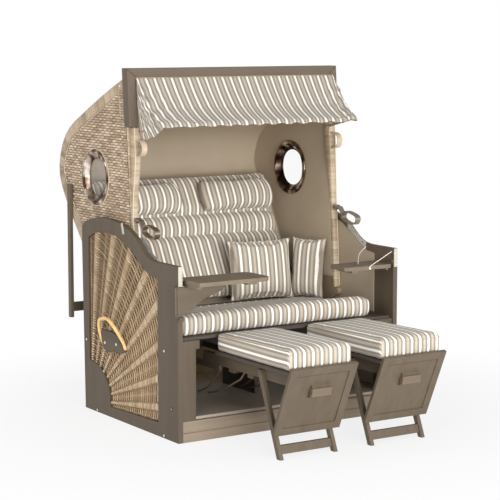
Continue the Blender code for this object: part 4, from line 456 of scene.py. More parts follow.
def dome(name, centre, axis, radius, rise, material, sides=16, rings=4):
    """Screw or bolt head that stands on a face."""
    axis = Vector(axis).normalized()
    side = axis.orthogonal().normalized()
    other = axis.cross(side)
    points = []
    faces = []
    levels = [(1, 0), (1, 0.35)] + [(math.cos(a), 0.35 + 0.65 * math.sin(a)) for a in
                                   (math.pi / 2 * k / rings for k in range(1, rings))]
    for share, height in levels:
        for k in range(sides):
            turn = 2 * math.pi * k / sides
            points.append(Vector(centre) + (side * math.cos(turn) + other * math.sin(turn)) * radius * share
                          + axis * rise * height)
    points.append(Vector(centre) + axis * rise)
    for level in range(len(levels) - 1):
        for k in range(sides):
            nxt = (k + 1) % sides
            faces.append((level * sides + k, level * sides + nxt, (level + 1) * sides + nxt,
                          (level + 1) * sides + k))
    top = (len(levels) - 1) * sides
    for k in range(sides):
        faces.append((top + k, top + (k + 1) % sides, len(points) - 1))
    faces.append(tuple(reversed(range(sides))))
    return mesh_piece(name, points, faces, material)


def join(name, things):
    """One piece from several meshes with their point values."""
    target = things[0]
    with bpy.context.temp_override(active_object=target, selected_objects=things,
                                   selected_editable_objects=things):
        bpy.ops.object.join()
    target.name = name
    target.data.name = name
    return target


def paint(node, material):
    """Give a CAD node another material."""
    mesh = nodes[node].data
    mesh.materials.clear()
    mesh.materials.append(material)


def block(name, size, material, bevel=0.0015):
    """Box about the origin with eased edges."""
    x, y, z = (s / 2 for s in size)
    points = [(a * x, b * y, c * z) for a in (-1, 1) for b in (-1, 1) for c in (-1, 1)]
    faces = [(0, 1, 3, 2), (4, 6, 7, 5), (0, 4, 5, 1), (2, 3, 7, 6), (0, 2, 6, 4), (1, 5, 7, 3)]
    return eased(mesh_piece(name, points, faces, material, smooth=False), bevel)


def eased(thing, width):
    """Small round on every edge."""
    edge = thing.modifiers.new("edges", "BEVEL")
    edge.width = width
    edge.segments = 2
    return bake(thing)


def strap(name, path, x, wide, thick, material):
    """Flat band across x that follows a path of (y, z) points."""
    line = np.array(path, float)
    tangent = np.gradient(line, axis=0)
    tangent /= np.linalg.norm(tangent, axis=1, keepdims=True)
    points = []
    for (y, z), (ty, tz) in zip(line, tangent):
        for side, lift in ((-1, -1), (1, -1), (1, 1), (-1, 1)):
            points.append((x + side * wide / 2, y - lift * tz * thick / 2, z + lift * ty * thick / 2))
    count = len(line)
    faces = [(0, 1, 2, 3), tuple(count * 4 - k for k in (1, 2, 3, 4))]
    for k in range(count - 1):
        for n in range(4):
            nxt = (n + 1) % 4
            faces.append((k * 4 + n, k * 4 + 4 + n, k * 4 + 4 + nxt, k * 4 + nxt))
    return mesh_piece(name, points, faces, material, smooth=False)


def soften(node, material, angle=30):
    """Copy of a curved CAD node of the hood with smooth shading, in the node's place."""
    mesh = nodes[node].data.copy()
    shape = bmesh.new()
    shape.from_mesh(mesh)
    bmesh.ops.remove_doubles(shape, verts=shape.verts, dist=1e-6)
    shape.to_mesh(mesh)
    shape.free()
    if "custom_normal" in mesh.attributes:
        mesh.attributes.remove(mesh.attributes["custom_normal"])
    mesh.shade_smooth()
    mesh.set_sharp_from_angle(angle=math.radians(angle))
    mesh.materials.clear()
    mesh.materials.append(material)
    thing = bpy.data.objects.new(node + "_smooth", mesh)
    bpy.context.scene.collection.objects.link(thing)
    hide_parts(node)
    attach(thing, "hood")


# Padded pieces

def pad_block(name, half, rounding, counts, shape=None):
    """Closed block about the origin with rounded edges, shaped point by point."""
    grids = []
    for size, count in zip(half, counts):
        core = size - rounding
        line = [-size, -size + rounding * 0.35]
        line += [-core + 2 * core * k / (count - 1) for k in range(count)]
        grids.append(line + [size - rounding * 0.35, size])
    made = {}
    points = []
    faces = []

    def vertex(index):
        if index not in made:
            raw = Vector([grids[a][index[a]] for a in range(3)])
            core = Vector([max(rounding - half[a], min(half[a] - rounding, raw[a])) for a in range(3)])
            away = raw - core
            place = core + away.normalized() * rounding if away.length > 0 else raw
            made[index] = len(points)
            points.append(shape(place) if shape else place)
        return made[index]

    last = [len(g) - 1 for g in grids]
    for a in range(3):
        b = (a + 1) % 3
        c = (a + 2) % 3
        for side in (0, last[a]):
            for p in range(last[b]):
                for q in range(last[c]):
                    corners = []
                    for dp, dq in ((0, 0), (1, 0), (1, 1), (0, 1)):
                        index = [0, 0, 0]
                        index[a] = side
                        index[b] = p + dp
                        index[c] = q + dq
                        corners.append(vertex(tuple(index)))
                    faces.append(corners if side else list(reversed(corners)))
    return mesh_piece(name, points, faces, cloth)


def puff(thing, voxel, cap, floor=None, pressure=PAD_PRESSURE, subdivide=True):
    """Voxel remesh, 20 frames of pressurised cloth, and no point moved by more than the cap."""
    remesh = thing.modifiers.new("voxels", "REMESH")
    remesh.mode = "VOXEL"
    remesh.voxel_size = voxel
    bake(thing)
    start = points_of(thing)
    soft = thing.modifiers.new("cloth", "CLOTH")
    soft.settings.use_pressure = True
    soft.settings.uniform_pressure_force = pressure
    soft.settings.effector_weights.gravity = 0
    soft.settings.quality = 5
    soft.point_cache.frame_start = 1
    soft.point_cache.frame_end = PAD_FRAMES
    for number in range(1, PAD_FRAMES + 1):
        bpy.context.scene.frame_set(number)
    view = bpy.context.evaluated_depsgraph_get()
    result = thing.evaluated_get(view)
    places = np.zeros(len(result.data.vertices) * 3, np.float32)
    result.data.vertices.foreach_get("co", places)
    thing.modifiers.clear()
    bpy.context.scene.frame_set(1)
    moved = places.reshape(-1, 3) - start
    length = np.linalg.norm(moved, axis=1, keepdims=True)
    moved *= np.minimum(1, cap / np.maximum(length, 1e-9))
    start = start + moved
    if floor is not None:
        start[:, 2] = np.maximum(start[:, 2], floor)
    move_points(thing, start)
    if subdivide:
        finer = thing.modifiers.new("finer", "SUBSURF")
        finer.levels = 1
        finer.render_levels = 1
        bake(thing)
    thing.data.shade_smooth()
    return thing


def stripes_round(thing, centre=0.0):
    """Stripe value that runs across x and on down the side faces."""
    places = points_of(thing)
    normals = normals_of(thing)
    top = places[:, 2].max()
    side = np.clip((np.abs(normals[:, 0]) - 0.45) / 0.4, 0, 1)
    value = places[:, 0] + np.sign(places[:, 0]) * side * (top - places[:, 2])
    set_value(thing, "stripe", value - centre)


def stripes_across(thing, centre=0.0):
    set_value(thing, "stripe", points_of(thing)[:, 0] - centre)


def outline_at(thing, height, count, centre=(0, 0)):
    """Points round a piece at a height in its own frame, found from outside."""
    mesh = thing.data
    tree = BVHTree.FromPolygons([v.co for v in mesh.vertices], [tuple(p.vertices) for p in mesh.polygons])
    half_x = max(abs(v.co.x) for v in mesh.vertices)
    half_y = max(abs(v.co.y) for v in mesh.vertices)
    path = []
    for k in range(count):
        turn = 2 * math.pi * k / count
        power = 0.35
        aim = Vector((math.copysign(abs(math.cos(turn)) ** power, math.cos(turn)) * half_x,
                      math.copysign(abs(math.sin(turn)) ** power, math.sin(turn)) * half_y, 0))
        far = Vector((centre[0], centre[1], height)) + aim * 2
        hit = tree.ray_cast(far, -aim.normalized())[0]
        if hit is not None:
            path.append(hit)
    return path


def piping(name, thing, height, radius, count=180):
    """Self-piped edge that follows the piece's outline."""
    path = outline_at(thing, height, count)
    cord = tube(name, path, radius, cloth, 6, closed=True)
    set_value(cord, "stripe", np.arange(len(cord.data.vertices)) * 0 + points_of(cord)[:, 0])
    return cord


def stand(thing, origin, x_axis, y_axis, z_axis):
    """Place a piece made about the origin along three directions."""
    turn = Matrix((x_axis, y_axis, z_axis)).transposed().to_4x4()
    thing.matrix_world = Matrix.Translation(Vector(origin)) @ turn
    return thing


def channel(thing, axis, place, width, depth, pucker, only_front=True):
    """Sewn channel across a pad, with small puckers along it."""
    places = points_of(thing)
    normals = normals_of(thing)
    near = np.exp(-((places[:, axis] - place) / width) ** 2)
    wide = np.exp(-((places[:, axis] - place) / (width * 3.5)) ** 2)
    ripple = np.sin(places[:, 0] * 2 * np.pi / 0.031 + 1.3 * np.sin(places[:, 0] * 23)) * pucker * wide
    facing = np.clip(normals[:, 2] * 1.5, 0, 1) if only_front else 1
    places += normals * ((ripple - depth * near) * facing)[:, None]
    move_points(thing, places)


def seat_pad():
    """Seat cushion: crowned, thinner towards the back, flat underneath."""
    low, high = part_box("seat_cushion")
    left, right, front, top = -0.547, 0.484, -0.250, 0.549
    half = ((right - left) / 2, (high.y - front) / 2 - 0.004, (top - low.z) / 2)
    fall = 0.078
    whole_fall = 3.48

    def shape(place):
        v = place.y / half[1]
        u = place.x / half[0]
        rise = max(place.z / half[2], 0)
        crown = 0.006 * (1 - u ** 4) * (1 - v ** 4)
        drop = fall * (1 - max(0, 1 - v) ** 1.8 / whole_fall)
        return Vector((place.x, place.y, place.z + rise * (crown - drop)))

    thing = pad_block("seat_pad", half, 0.031, (10, 8, 2), shape)
    puff(thing, 0.008, 0.008, floor=-half[2])
    stripes_across(thing)
    centre = ((left + right) / 2, (front + high.y) / 2, low.z + half[2] + 0.001)
    stand(thing, centre, X_AXIS, Vector((0, 1, 0)), Z_AXIS)
    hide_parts("seat_cushion")
    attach(thing, "base")
    return thing


def back_pad():
    """Back cushion with two sewn channels across it."""
    thick = 0.075
    half = (0.505, BACK_LENGTH / 2 + 0.004, thick / 2 - 0.012)

    def shape(place):
        u = place.x / half[0]
        v = place.y / half[1]
        w = max(place.z / half[2], 0)
        return Vector((place.x, place.y, place.z + 0.008 * w * (1 - u ** 4) * (1 - v ** 4)))

    thing = pad_block("back_pad", half, 0.020, (10, 10, 2), shape)
    puff(thing, 0.008, 0.012, floor=-half[2])
    rise = 0.010
    for height in (0.886, 0.792):
        place = (height - (BACK_FOOT.z + BACK_HEAD.z) / 2) / BACK_UP.z - rise
        channel(thing, 1, place, 0.026, 0.017, 0.0007)
        channel(thing, 1, place, 0.007, 0.007, 0.0)
    stripes_across(thing)
    middle = (BACK_FOOT + BACK_HEAD) / 2 + BACK_UP * rise - BACK_OUT * (thick - half[2] - 0.012)
    stand(thing, middle, X_AXIS, BACK_UP, BACK_OUT)
    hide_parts("back_cushion")
    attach(thing, "hood")
    edge = piping("back_pad_piping", thing, half[2] * 0.55, 0.0032, 260)
    stand(edge, middle, X_AXIS, BACK_UP, BACK_OUT)
    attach(edge, "hood")
    return thing


def headrests():
    """Rolls that lie against the top of the back."""
    wide, high, thick = 0.420, 0.176, 0.104
    bow = 0.085
    half = (wide / 2 - 0.004, high / 2 - 0.008, thick / 2)

    def shape(place):
        v = place.y / half[1]
        u = place.x / half[0]
        bulge = math.sqrt(max(0, 1 - 0.94 * v * v)) * (1 - 0.35 * u ** 6)
        z = place.z * (0.22 + 0.78 * bulge) if place.z > 0 else place.z * 0.30
        return Vector((place.x * (1 - bow * v * v), place.y, z))

    thing = pad_block("headrest_pad_left", half, 0.020, (9, 8, 3), shape)
    puff(thing, 0.005, 0.008)
    places = points_of(thing)
    set_value(thing, "stripe", places[:, 0] / (1 - bow * (places[:, 1] / half[1]) ** 2))
    spare = thing.data.copy()
    for side_name, sign in SIDES:
        piece = thing if sign < 0 else bpy.data.objects.new("headrest_pad_right", spare)
        if sign > 0:
            bpy.context.scene.collection.objects.link(piece)
        node = "headrest_" + side_name
        centre = BACK_FOOT + BACK_UP * 0.517 + BACK_OUT * 0.022 + X_AXIS * sign * 0.263
        stand(piece, centre, X_AXIS, BACK_UP, BACK_OUT)
        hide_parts(node)
        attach(piece, "hood")


PILLOW_FOOT = 0.476
PILLOW_TALL = 0.300


def throw_pillows():
    """Knife-edged pillows that stand on the seat, one against the back and one in the corner."""
    for name, node, place, wide, thick, turn, lean in (
            ("pillow_left", "throw_pillow_left", (0.229, 0.322), 0.345, 0.085, 8, 10),
            ("pillow_right", "throw_pillow_right", (0.456, 0.249), 0.186, 0.066, 60, 7)):
        half = (wide / 2, PILLOW_TALL / 2, thick / 2)

        def shape(point, half=half, thick=thick):
            u = min(1, max(-1, point.x / half[0]))
            v = min(1, max(-1, point.y / half[1]))
            swell = (1 - abs(u) ** 3.2) ** 0.75 * (1 - abs(v) ** 3.2) ** 0.75
            z = math.copysign(0.0035 + thick / 2 * 0.80 * swell, point.z) * min(1, abs(point.z) / 0.003)
            draw = 0.035
            return Vector((point.x * (1 - draw * (1 - v * v)), point.y * (1 - draw * (1 - u * u)), z))

        thing = pad_block(name, half, 0.0035, (13, 11, 2), shape)
        puff(thing, 0.005, 0.012)
        stripes_across(thing, 0.012)
        turn = math.radians(turn)
        lean = math.radians(lean)
        along = Vector((math.cos(turn), -math.sin(turn), 0))
        rearward = Vector((math.sin(turn), math.cos(turn), 0))
        up = rearward * math.sin(lean) + Z_AXIS * math.cos(lean)
        centre = Vector((place[0], place[1], PILLOW_FOOT + PILLOW_TALL / 2))
        stand(thing, centre, along, up, along.cross(up))
        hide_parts(node)
        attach(thing, "base")
        edge = piping(name + "_welt", thing, 0.0, 0.0028, 150)
        stand(edge, centre, along, up, along.cross(up))
        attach(edge, "base")


def footrest_pads():
    """Thick footrest cushions with piped edges, one made and the other copied."""
    low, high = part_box("footrest_cushion_left")
    wide = high.x - low.x
    long = high.y - low.y
    tall = high.z - low.z
    half = (wide / 2 - 0.004, long / 2 - 0.001, tall / 2 - 0.012)

    def shape(place):
        u = place.x / half[0]
        v = place.y / half[1]
        rise = max(place.z / half[2], 0)
        crown = 0.005 * (1 - u ** 4) * (1 - v ** 4) - 0.014 * (1 + v) / 2
        return Vector((place.x, place.y, place.z + rise * crown))

    thing = pad_block("footrest_pad_left", half, 0.016, (7, 10, 4), shape)
    puff(thing, 0.006, 0.006, floor=-half[2])
    stripes_round(thing)
    spare = thing.data.copy()
    lines = [piping("footrest_pad_left_welt", thing, half[2] * 0.62, 0.0020, 200)]
    for side_name, sign in SIDES:
        node = "footrest_cushion_" + side_name
        low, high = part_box(node)
        centre = ((low.x + high.x) / 2, (low.y + high.y) / 2, low.z + half[2] + 0.001)
        piece = thing
        line = lines[0]
        if sign > 0:
            piece = bpy.data.objects.new("footrest_pad_right", spare)
            line = bpy.data.objects.new("footrest_pad_right_welt", lines[0].data.copy())
            bpy.context.scene.collection.objects.link(piece)
            bpy.context.scene.collection.objects.link(line)
        for part in (piece, line):
            stand(part, centre, X_AXIS, Vector((0, 1, 0)), Z_AXIS)
            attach(part, "footrest_slide_" + side_name)
            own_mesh(part)
        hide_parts(node)


# Woven walls

PLANE_LIFT = 0.0004
ROW_PITCH = 0.0118
STAKE = 0.0215
ROW_SHARES = (0.03, 0.30, 0.70, 0.97)
WEAVE_HEIGHT = 0.0042
WRAP_PITCH = 0.0056
WRAP_HEIGHT = 0.0016


def over_under(rows, columns, pitch, stake, height):
    """Relief, painted shade and cell of a plain weave at every row and column place."""
    number = np.floor(rows / pitch + 1e-6)
    share = rows / pitch - number
    arch = np.sqrt(np.clip(1 - (2 * share - 1) ** 2, 0, 1))[:, None]
    wave = np.cos(np.pi * (columns[None, :] / stake + number[:, None]))
    wave = np.sign(wave) * np.abs(wave) ** 0.7
    relief = height * (0.55 + 0.45 * wave) * (0.15 + 0.85 * arch)
    # painted shade: darker at the edges of each row and where the strand passes behind a stake
    depth = np.clip(0.95 - 1.05 * arch + 0.42 * (1 - wave) * (0.35 + 0.65 * (1 - arch)), 0, 0.92)
    return relief, depth, number.astype(int)


def run_tones(number, columns, run):
    """A tone for each strand, changing where a new strand is laid in."""
    number = number - number.min()
    length = int(columns.max() / run) + 3
    tones = chance.random((number.max() + 1, length))
    shift = chance.random(number.max() + 1)
    place = (columns[None, :] / run + shift[number][:, None]).astype(int)
    return tones[number[:, None], place]


def sheet_mesh(name, places, mask, material):
    """Surface through a grid of places, where the mask holds."""
    index = np.full(mask.shape, -1)
    index[mask] = np.arange(mask.sum())
    quads = np.stack([index[:-1, :-1], index[:-1, 1:], index[1:, 1:], index[1:, :-1]], axis=-1)
    quads = quads.reshape(-1, 4)
    quads = quads[(quads >= 0).all(axis=1)]
    return mesh_piece(name, places[mask].tolist(), quads.tolist(), material)


def flat_weave(name, node, axis, out, level, tolerance, strands=(1, 2), pitch=ROW_PITCH, stake=STAKE,
               height=WEAVE_HEIGHT, material=None, coarse=1.0, zone=None):
    """Woven relief on the faces of a node that lie at one level of an axis.

    strands gives the axes along which the strands run and are stacked, zone a further limit."""
    low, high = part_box(node)
    along, stacked = strands
    tree = tree_of(node)
    count = int((high[stacked] - low[stacked]) / pitch) + 1
    shares = ROW_SHARES if coarse == 1 else (0.03, 0.5, 0.97)
    rows = np.array([pitch * (n + s) for n in range(count) for s in shares])
    columns = np.arange(0, high[along] - low[along] + stake / 5, stake / 5 * coarse)
    relief, depth, number = over_under(rows, columns, pitch, stake, height)
    tone = 0.25 + 0.62 * run_tones(number, columns, stake * 2)
    mask = np.zeros((len(rows), len(columns)), bool)
    away = Vector((0, 0, 0))
    away[axis] = out
    origin = Vector((0, 0, 0))
    origin[axis] = level + out * 0.2
    for i, row in enumerate(rows):
        for j, column in enumerate(columns):
            origin[stacked] = low[stacked] + row
            origin[along] = low[along] + column
            hit = tree.ray_cast(origin, -away)[0]
            mask[i, j] = (hit is not None and abs(hit[axis] - level) < tolerance
                          and (zone is None or zone(origin)))
    places = np.zeros((len(rows), len(columns), 3))
    places[..., axis] = level + out * (PLANE_LIFT + relief)
    places[..., stacked] = (low[stacked] + rows)[:, None]
    places[..., along] = (low[along] + columns)[None, :]
    thing = sheet_mesh(name, places, mask, material or weave)
    set_value(thing, "tone", tone[mask])
    # painted shade of the weave's hollows
    set_value(thing, "depth", depth[mask])
    return thing


def face_loops(node, level, tolerance=0.0006):
    """Outlines of a node's faces that lie at one level of X, longest first, as (y, z) points."""
    shape = bmesh.new()
    shape.from_mesh(nodes[node].data)
    bmesh.ops.remove_doubles(shape, verts=shape.verts, dist=tolerance / 20)
    flat = dict.fromkeys(f for f in shape.faces
                         if all(abs(v.co.x - level) < tolerance for v in f.verts))
    follow = {}
    for face in flat:
        for loop in face.loops:
            if sum(1 for other in loop.edge.link_faces if other in flat) == 1:
                follow[loop.vert] = loop.link_loop_next.vert
    loops = []
    while follow:
        start, vert = next(iter(follow.items()))
        del follow[start]
        path = [start]
        while vert is not start and vert in follow:
            path.append(vert)
            vert = follow.pop(vert)
        loops.append([(v.co.y, v.co.z) for v in path])
    shape.free()

    def length(path):
        return sum(math.dist(a, b) for a, b in zip(path, path[1:] + path[:1]))

    return sorted(loops, key=length, reverse=True)


def resample(path, step, closed=True):
    """Points at equal steps along a path of (y, z) points, with their tangents."""
    points = np.array(path + path[:1] if closed else path, float)
    lengths = np.concatenate([[0], np.cumsum(np.linalg.norm(np.diff(points, axis=0), axis=1))])
    places = np.arange(0, lengths[-1], step)
    line = np.stack([np.interp(places, lengths, points[:, k]) for k in (0, 1)], axis=1)
    reach = 3
    if closed:
        tangent = np.roll(line, -reach, axis=0) - np.roll(line, reach, axis=0)
    else:
        tangent = np.gradient(line, axis=0)
    tangent /= np.maximum(np.linalg.norm(tangent, axis=1, keepdims=True), 1e-9)
    return places, line, tangent


def beside_post(place):
    """Whether a place on a hood wall lies in the strip behind the front post, which is woven too."""
    return place.y < hood_front(place.z) + 0.0725 and place.z < 1.50


def wrapped_border(side_name, sign):
    """Border of a hood wall, wrapped with strands that run across it and over its rim."""
    node = "hood_side_" + side_name
    outer = 0.558
    outline = face_loops(node, sign * outer)[0]
    places, line, tangent = resample(outline, WRAP_PITCH / 4)
    middle = line.mean(axis=0)
    inward = np.stack([-tangent[:, 1], tangent[:, 0]], axis=1)
    if ((middle - line) * inward).sum() < 0:
        inward = -inward
    ridge = np.sqrt(np.clip(np.abs(np.sin(np.pi * places / WRAP_PITCH)), 0, 1))
    tree = tree_of(node)
    depth_in = np.linspace(0, 0.0505, 12)
    profile = [(-0.0008, outer - 0.0175), (-0.0012, outer - 0.009), (-0.0010, outer - 0.001),
               (-0.0002, outer + 0.0008)]
    profile += [(d, outer + 0.0010) for d in depth_in[1:]]
    count = len(line)
    grid = np.zeros((count + 1, len(profile), 3))
    mask = np.zeros((count + 1, len(profile)), bool)
    for k in range(count + 1):
        n = k % count
        for j, (depth, x) in enumerate(profile):
            lift = WRAP_HEIGHT * ridge[n]
            y, z = line[n] + inward[n] * depth
            if depth > 0:
                hit = tree.ray_cast(Vector((sign, y, z)), Vector((-sign, 0, 0)))[0]
                mask[k, j] = (hit is not None and abs(abs(hit.x) - outer) < 0.0005
                              and not beside_post(hit))
                grid[k, j] = (sign * (x + lift), y, z)
            else:
                mask[k, j] = True
                y, z = line[n] + inward[n] * (depth - lift)
                grid[k, j] = (sign * (x + (lift if x > outer else 0)), y, z)
    thing = sheet_mesh("hood_border_" + side_name, grid, mask, trim_weave)
    number = (np.append(places, places[0]) / WRAP_PITCH).astype(int)
    tones = chance.random(number.max() + 2)
    patch = chance.random(number.max() // 9 + 2)
    tone = 0.45 * tones[number] + 0.55 * patch[number // 9]
    # painted shade in the hollows between the wraps
    shade_line = np.clip(0.9 - 1.3 * np.append(ridge, ridge[0]), 0, 0.7)
    set_value(thing, "tone", np.repeat(tone[:, None], len(profile), 1)[mask])
    set_value(thing, "depth", np.repeat(shade_line[:, None], len(profile), 1)[mask])
    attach(thing, "hood")


def hood_walls():
    """Woven field, wrapped border and edging cords of each hood wall."""
    for side_name, sign in SIDES:
        node = "hood_side_" + side_name
        thing = flat_weave("hood_weave_" + side_name, node, 0, sign, sign * 0.555, 0.0006)
        strip = flat_weave("hood_front_weave_" + side_name, node, 0, sign, sign * 0.558, 0.0006,
                           zone=beside_post)
        for piece in (thing, strip):
            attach(piece, "hood")
        wrapped_border(side_name, sign)
        field = face_loops(node, sign * 0.555)[0]
        line = resample(field, 0.012)[1]
        path = [Vector((sign * 0.5583, y, z)) for y, z in line]
        free = [not beside_post(p) for p in path]
        start = next(k for k in range(len(path)) if free[k] and not free[k - 1])
        path = [path[(start + k) % len(path)] for k in range(len(path)) if free[(start + k) % len(path)]]
        edge = tube("hood_edging_" + side_name, path, 0.0026, trim_weave, 6)
        set_value(edge, "tone", np.repeat(0.55 + 0.35 * chance.random(len(path)), 6))
        set_value(edge, "depth", np.zeros(len(path) * 6))
        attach(edge, "hood")


def hood_front(z):
    """Y of the hood's leaning front plane at a height."""
    return 0.126 + 0.075 * (z - 0.54)


FORWARD = 0.024
PULL_LOOP = ((0.00, 1.283), (0.030, 1.282), (0.052, 1.272), (0.061, 1.252), (0.056, 1.232),
             (0.036, 1.216), (0.00, 1.210))


def forward_share(z):
    """How far the front posts stand out at a height: none at the seat, all at the top."""
    t = min(1, max(0, (z - 0.93) / 0.32))
    return t * t * (3 - 2 * t)


def post_skins():
    """Wound front posts of the hood, with a cord down each outer corner and a loop to pull."""
    foot, head = 0.541, 1.339
    pitch = 0.0052
    corner = 0.006
    for side_name, sign in SIDES:
        count = int((head - foot) / pitch)
        rows = np.array([foot + pitch * (n + s) for n in range(count) for s in (0.03, 0.35, 0.65, 0.97)])
        number = ((rows - foot) / pitch + 1e-6).astype(int)
        arch = np.sqrt(np.clip(1 - (2 * ((rows - foot) / pitch - number) - 1) ** 2, 0, 1))
        tones = chance.random(number.max() + 1)
        patch = chance.random(number.max() // 7 + 1)
        points = []
        for z, a in zip(rows, arch):
            share = forward_share(z)
            near, far = 0.532 - 0.016 * share, 0.558 - 0.012 * share
            front = hood_front(z) - FORWARD * share
            back = hood_front(z) + 0.020
            size = corner + 0.0006 + 0.0011 * a
            for x, y, first in ((far - corner, front + corner, -90), (far - corner, back - corner, 0),
                                (near + corner, back - corner, 90), (near + corner, front + corner, 180)):
                for k in range(3):
                    turn = math.radians(first + 45 * k)
                    points.append((sign * (x + math.cos(turn) * size), y + math.sin(turn) * size, z))
        wide = 12
        faces = [(r * wide + k, r * wide + (k + 1) % wide, (r + 1) * wide + (k + 1) % wide,
                  (r + 1) * wide + k) for r in range(len(rows) - 1) for k in range(wide)]
        faces += [tuple(range(wide)), tuple(reversed(range((len(rows) - 1) * wide, len(rows) * wide)))]
        skin = mesh_piece("post_wrap_" + side_name, points, faces, trim_weave)
        set_value(skin, "tone", np.repeat(0.4 * tones[number] + 0.6 * patch[number // 7], wide))
        # painted shade between the wound rows
        set_value(skin, "depth", np.repeat(np.clip(0.85 - 1.2 * arch, 0, 0.7), wide))
        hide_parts("edge_stile_" + side_name)
        path = [(sign * (0.5578 - 0.012 * forward_share(z)),
                 hood_front(z) - FORWARD * forward_share(z) - 0.0012, z)
                for z in np.linspace(foot, head, 40)]
        cord = tube("post_cord_" + side_name, path, 0.0024, trim_weave, 6)
        set_value(cord, "tone", np.full(len(cord.data.vertices), 0.95))
        set_value(cord, "depth", np.zeros(len(cord.data.vertices)))
        route = smooth_path([(0, hood_front(z) - FORWARD - out, z) for out, z in PULL_LOOP], 5)
        loop = strap("pull_loop_" + side_name, [(p.y, p.z) for p in route], sign * 0.531, 0.026, 0.0036,
                     trim_weave)
        set_value(loop, "tone", np.full(len(loop.data.vertices), 0.62))
        set_value(loop, "depth", np.zeros(len(loop.data.vertices)))
        for piece in (skin, cord, loop):
            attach(piece, "hood")


FRAME_HALF = 0.5685
FRAME_TOP = 1.600
FRAME_FOOT = 1.3403
FRAME_FACE = 0.045
FRAME_FALL = 0.043
FRAME_BACK = 0.026
MITRE_GAP = 0.0008


def hood_frame():
    """Wooden frame round the hood's front, mitred at its upper corners."""
    outer, inner = FRAME_HALF, FRAME_HALF - FRAME_FACE
    low = FRAME_TOP - FRAME_FALL
    gap = MITRE_GAP
    shapes = [("hood_beam", beam_wood, ((-outer + gap, FRAME_TOP), (outer - gap, FRAME_TOP),
                                        (inner - gap, low), (-inner + gap, low)))]
    for side_name, sign in SIDES:
        shapes.append(("hood_upright_" + side_name, beam_wood_upright,
                       ((sign * outer, FRAME_TOP - gap), (sign * inner, low - gap),
                        (sign * inner, FRAME_FOOT), (sign * outer, FRAME_FOOT))))
    for name, material, corners in shapes:
        points = [(x, hood_front(z) - FORWARD, z) for x, z in corners]
        points += [(x, hood_front(z) + FRAME_BACK, z) for x, z in corners]
        faces = [(0, 1, 2, 3), (7, 6, 5, 4)] + [(k, k + 4, (k + 1) % 4 + 4, (k + 1) % 4) for k in range(4)]
        thing = eased(mesh_piece(name, points, faces, material, smooth=False), 0.0016)
        if name == "hood_beam":
            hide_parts("hood_front_frame")
        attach(thing, "hood")


def roof_weave():
    """Woven relief over the outside of the hood's roof and back."""
    tree = tree_of("hood_roof")
    middle = Vector((0, 0.25, 1.10))
    line = []
    for k in range(400):
        turn = math.radians(95 - 175 * k / 399)
        aim = Vector((0, math.cos(turn), math.sin(turn)))
        hit = tree.ray_cast(middle + aim * 2, -aim)[0]
        if hit is not None and (not line or (hit - Vector((0, *line[-1]))).length < 0.08):
            line.append((hit.y, hit.z))
    places, path, tangent = resample(line, ROW_PITCH / 3, closed=False)
    outward = np.stack([-tangent[:, 1], tangent[:, 0]], axis=1)
    if (outward * (path - np.array((middle.y, middle.z)))).sum() < 0:
        outward = -outward
    columns = np.arange(0, 2 * 0.539, STAKE / 2.5)
    relief, depth, number = over_under(places, columns, ROW_PITCH, STAKE, WEAVE_HEIGHT * 0.8)
    tone = run_tones(number, columns, STAKE * 9)
    grid = np.zeros((len(places), len(columns), 3))
    grid[..., 0] = columns[None, :] - 0.539
    for k in (0, 1):
        grid[..., k + 1] = path[:, k][:, None] + outward[:, k][:, None] * (PLANE_LIFT + relief)
    mask = np.ones(relief.shape, bool)
    thing = sheet_mesh("roof_weave", grid, mask, weave)
    set_value(thing, "tone", tone[mask])
    # painted shade of the weave's hollows
    set_value(thing, "depth", depth[mask])
    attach(thing, "hood")


# Sun-ray panels

RAY_HUB = Vector((0, 0.532, 0.040))
RAY_COUNT = 8
FAN_START = 90.3
FAN_STOP = 177.7
ARC_PITCH = 0.0130
SPIRAL = 0.26
CREST_HALF = 0.085
CREST_SLOPE = 0.09
VALLEY_X = 0.5778
CREST_X = 0.5862


def window_span(tree, sign, radius, angles):
    """Which angles of an arc about the hub lie inside the side's window."""
    inside = []
    for angle in angles:
        y = RAY_HUB.y + radius * math.cos(angle)
        z = RAY_HUB.z + radius * math.sin(angle)
        hit = tree.ray_cast(Vector((sign, y, z)), Vector((-sign, 0, 0)), 0.6)[0]
        inside.append(hit is not None)
    return inside


def crest_share(share):
    """How far a strand is lifted over a ray, from 0 in the valley to 1."""
    away = abs(share - 0.5)
    t = min(1, max(0, (CREST_HALF + CREST_SLOPE - away) / CREST_SLOPE))
    return t * t * (3 - 2 * t)


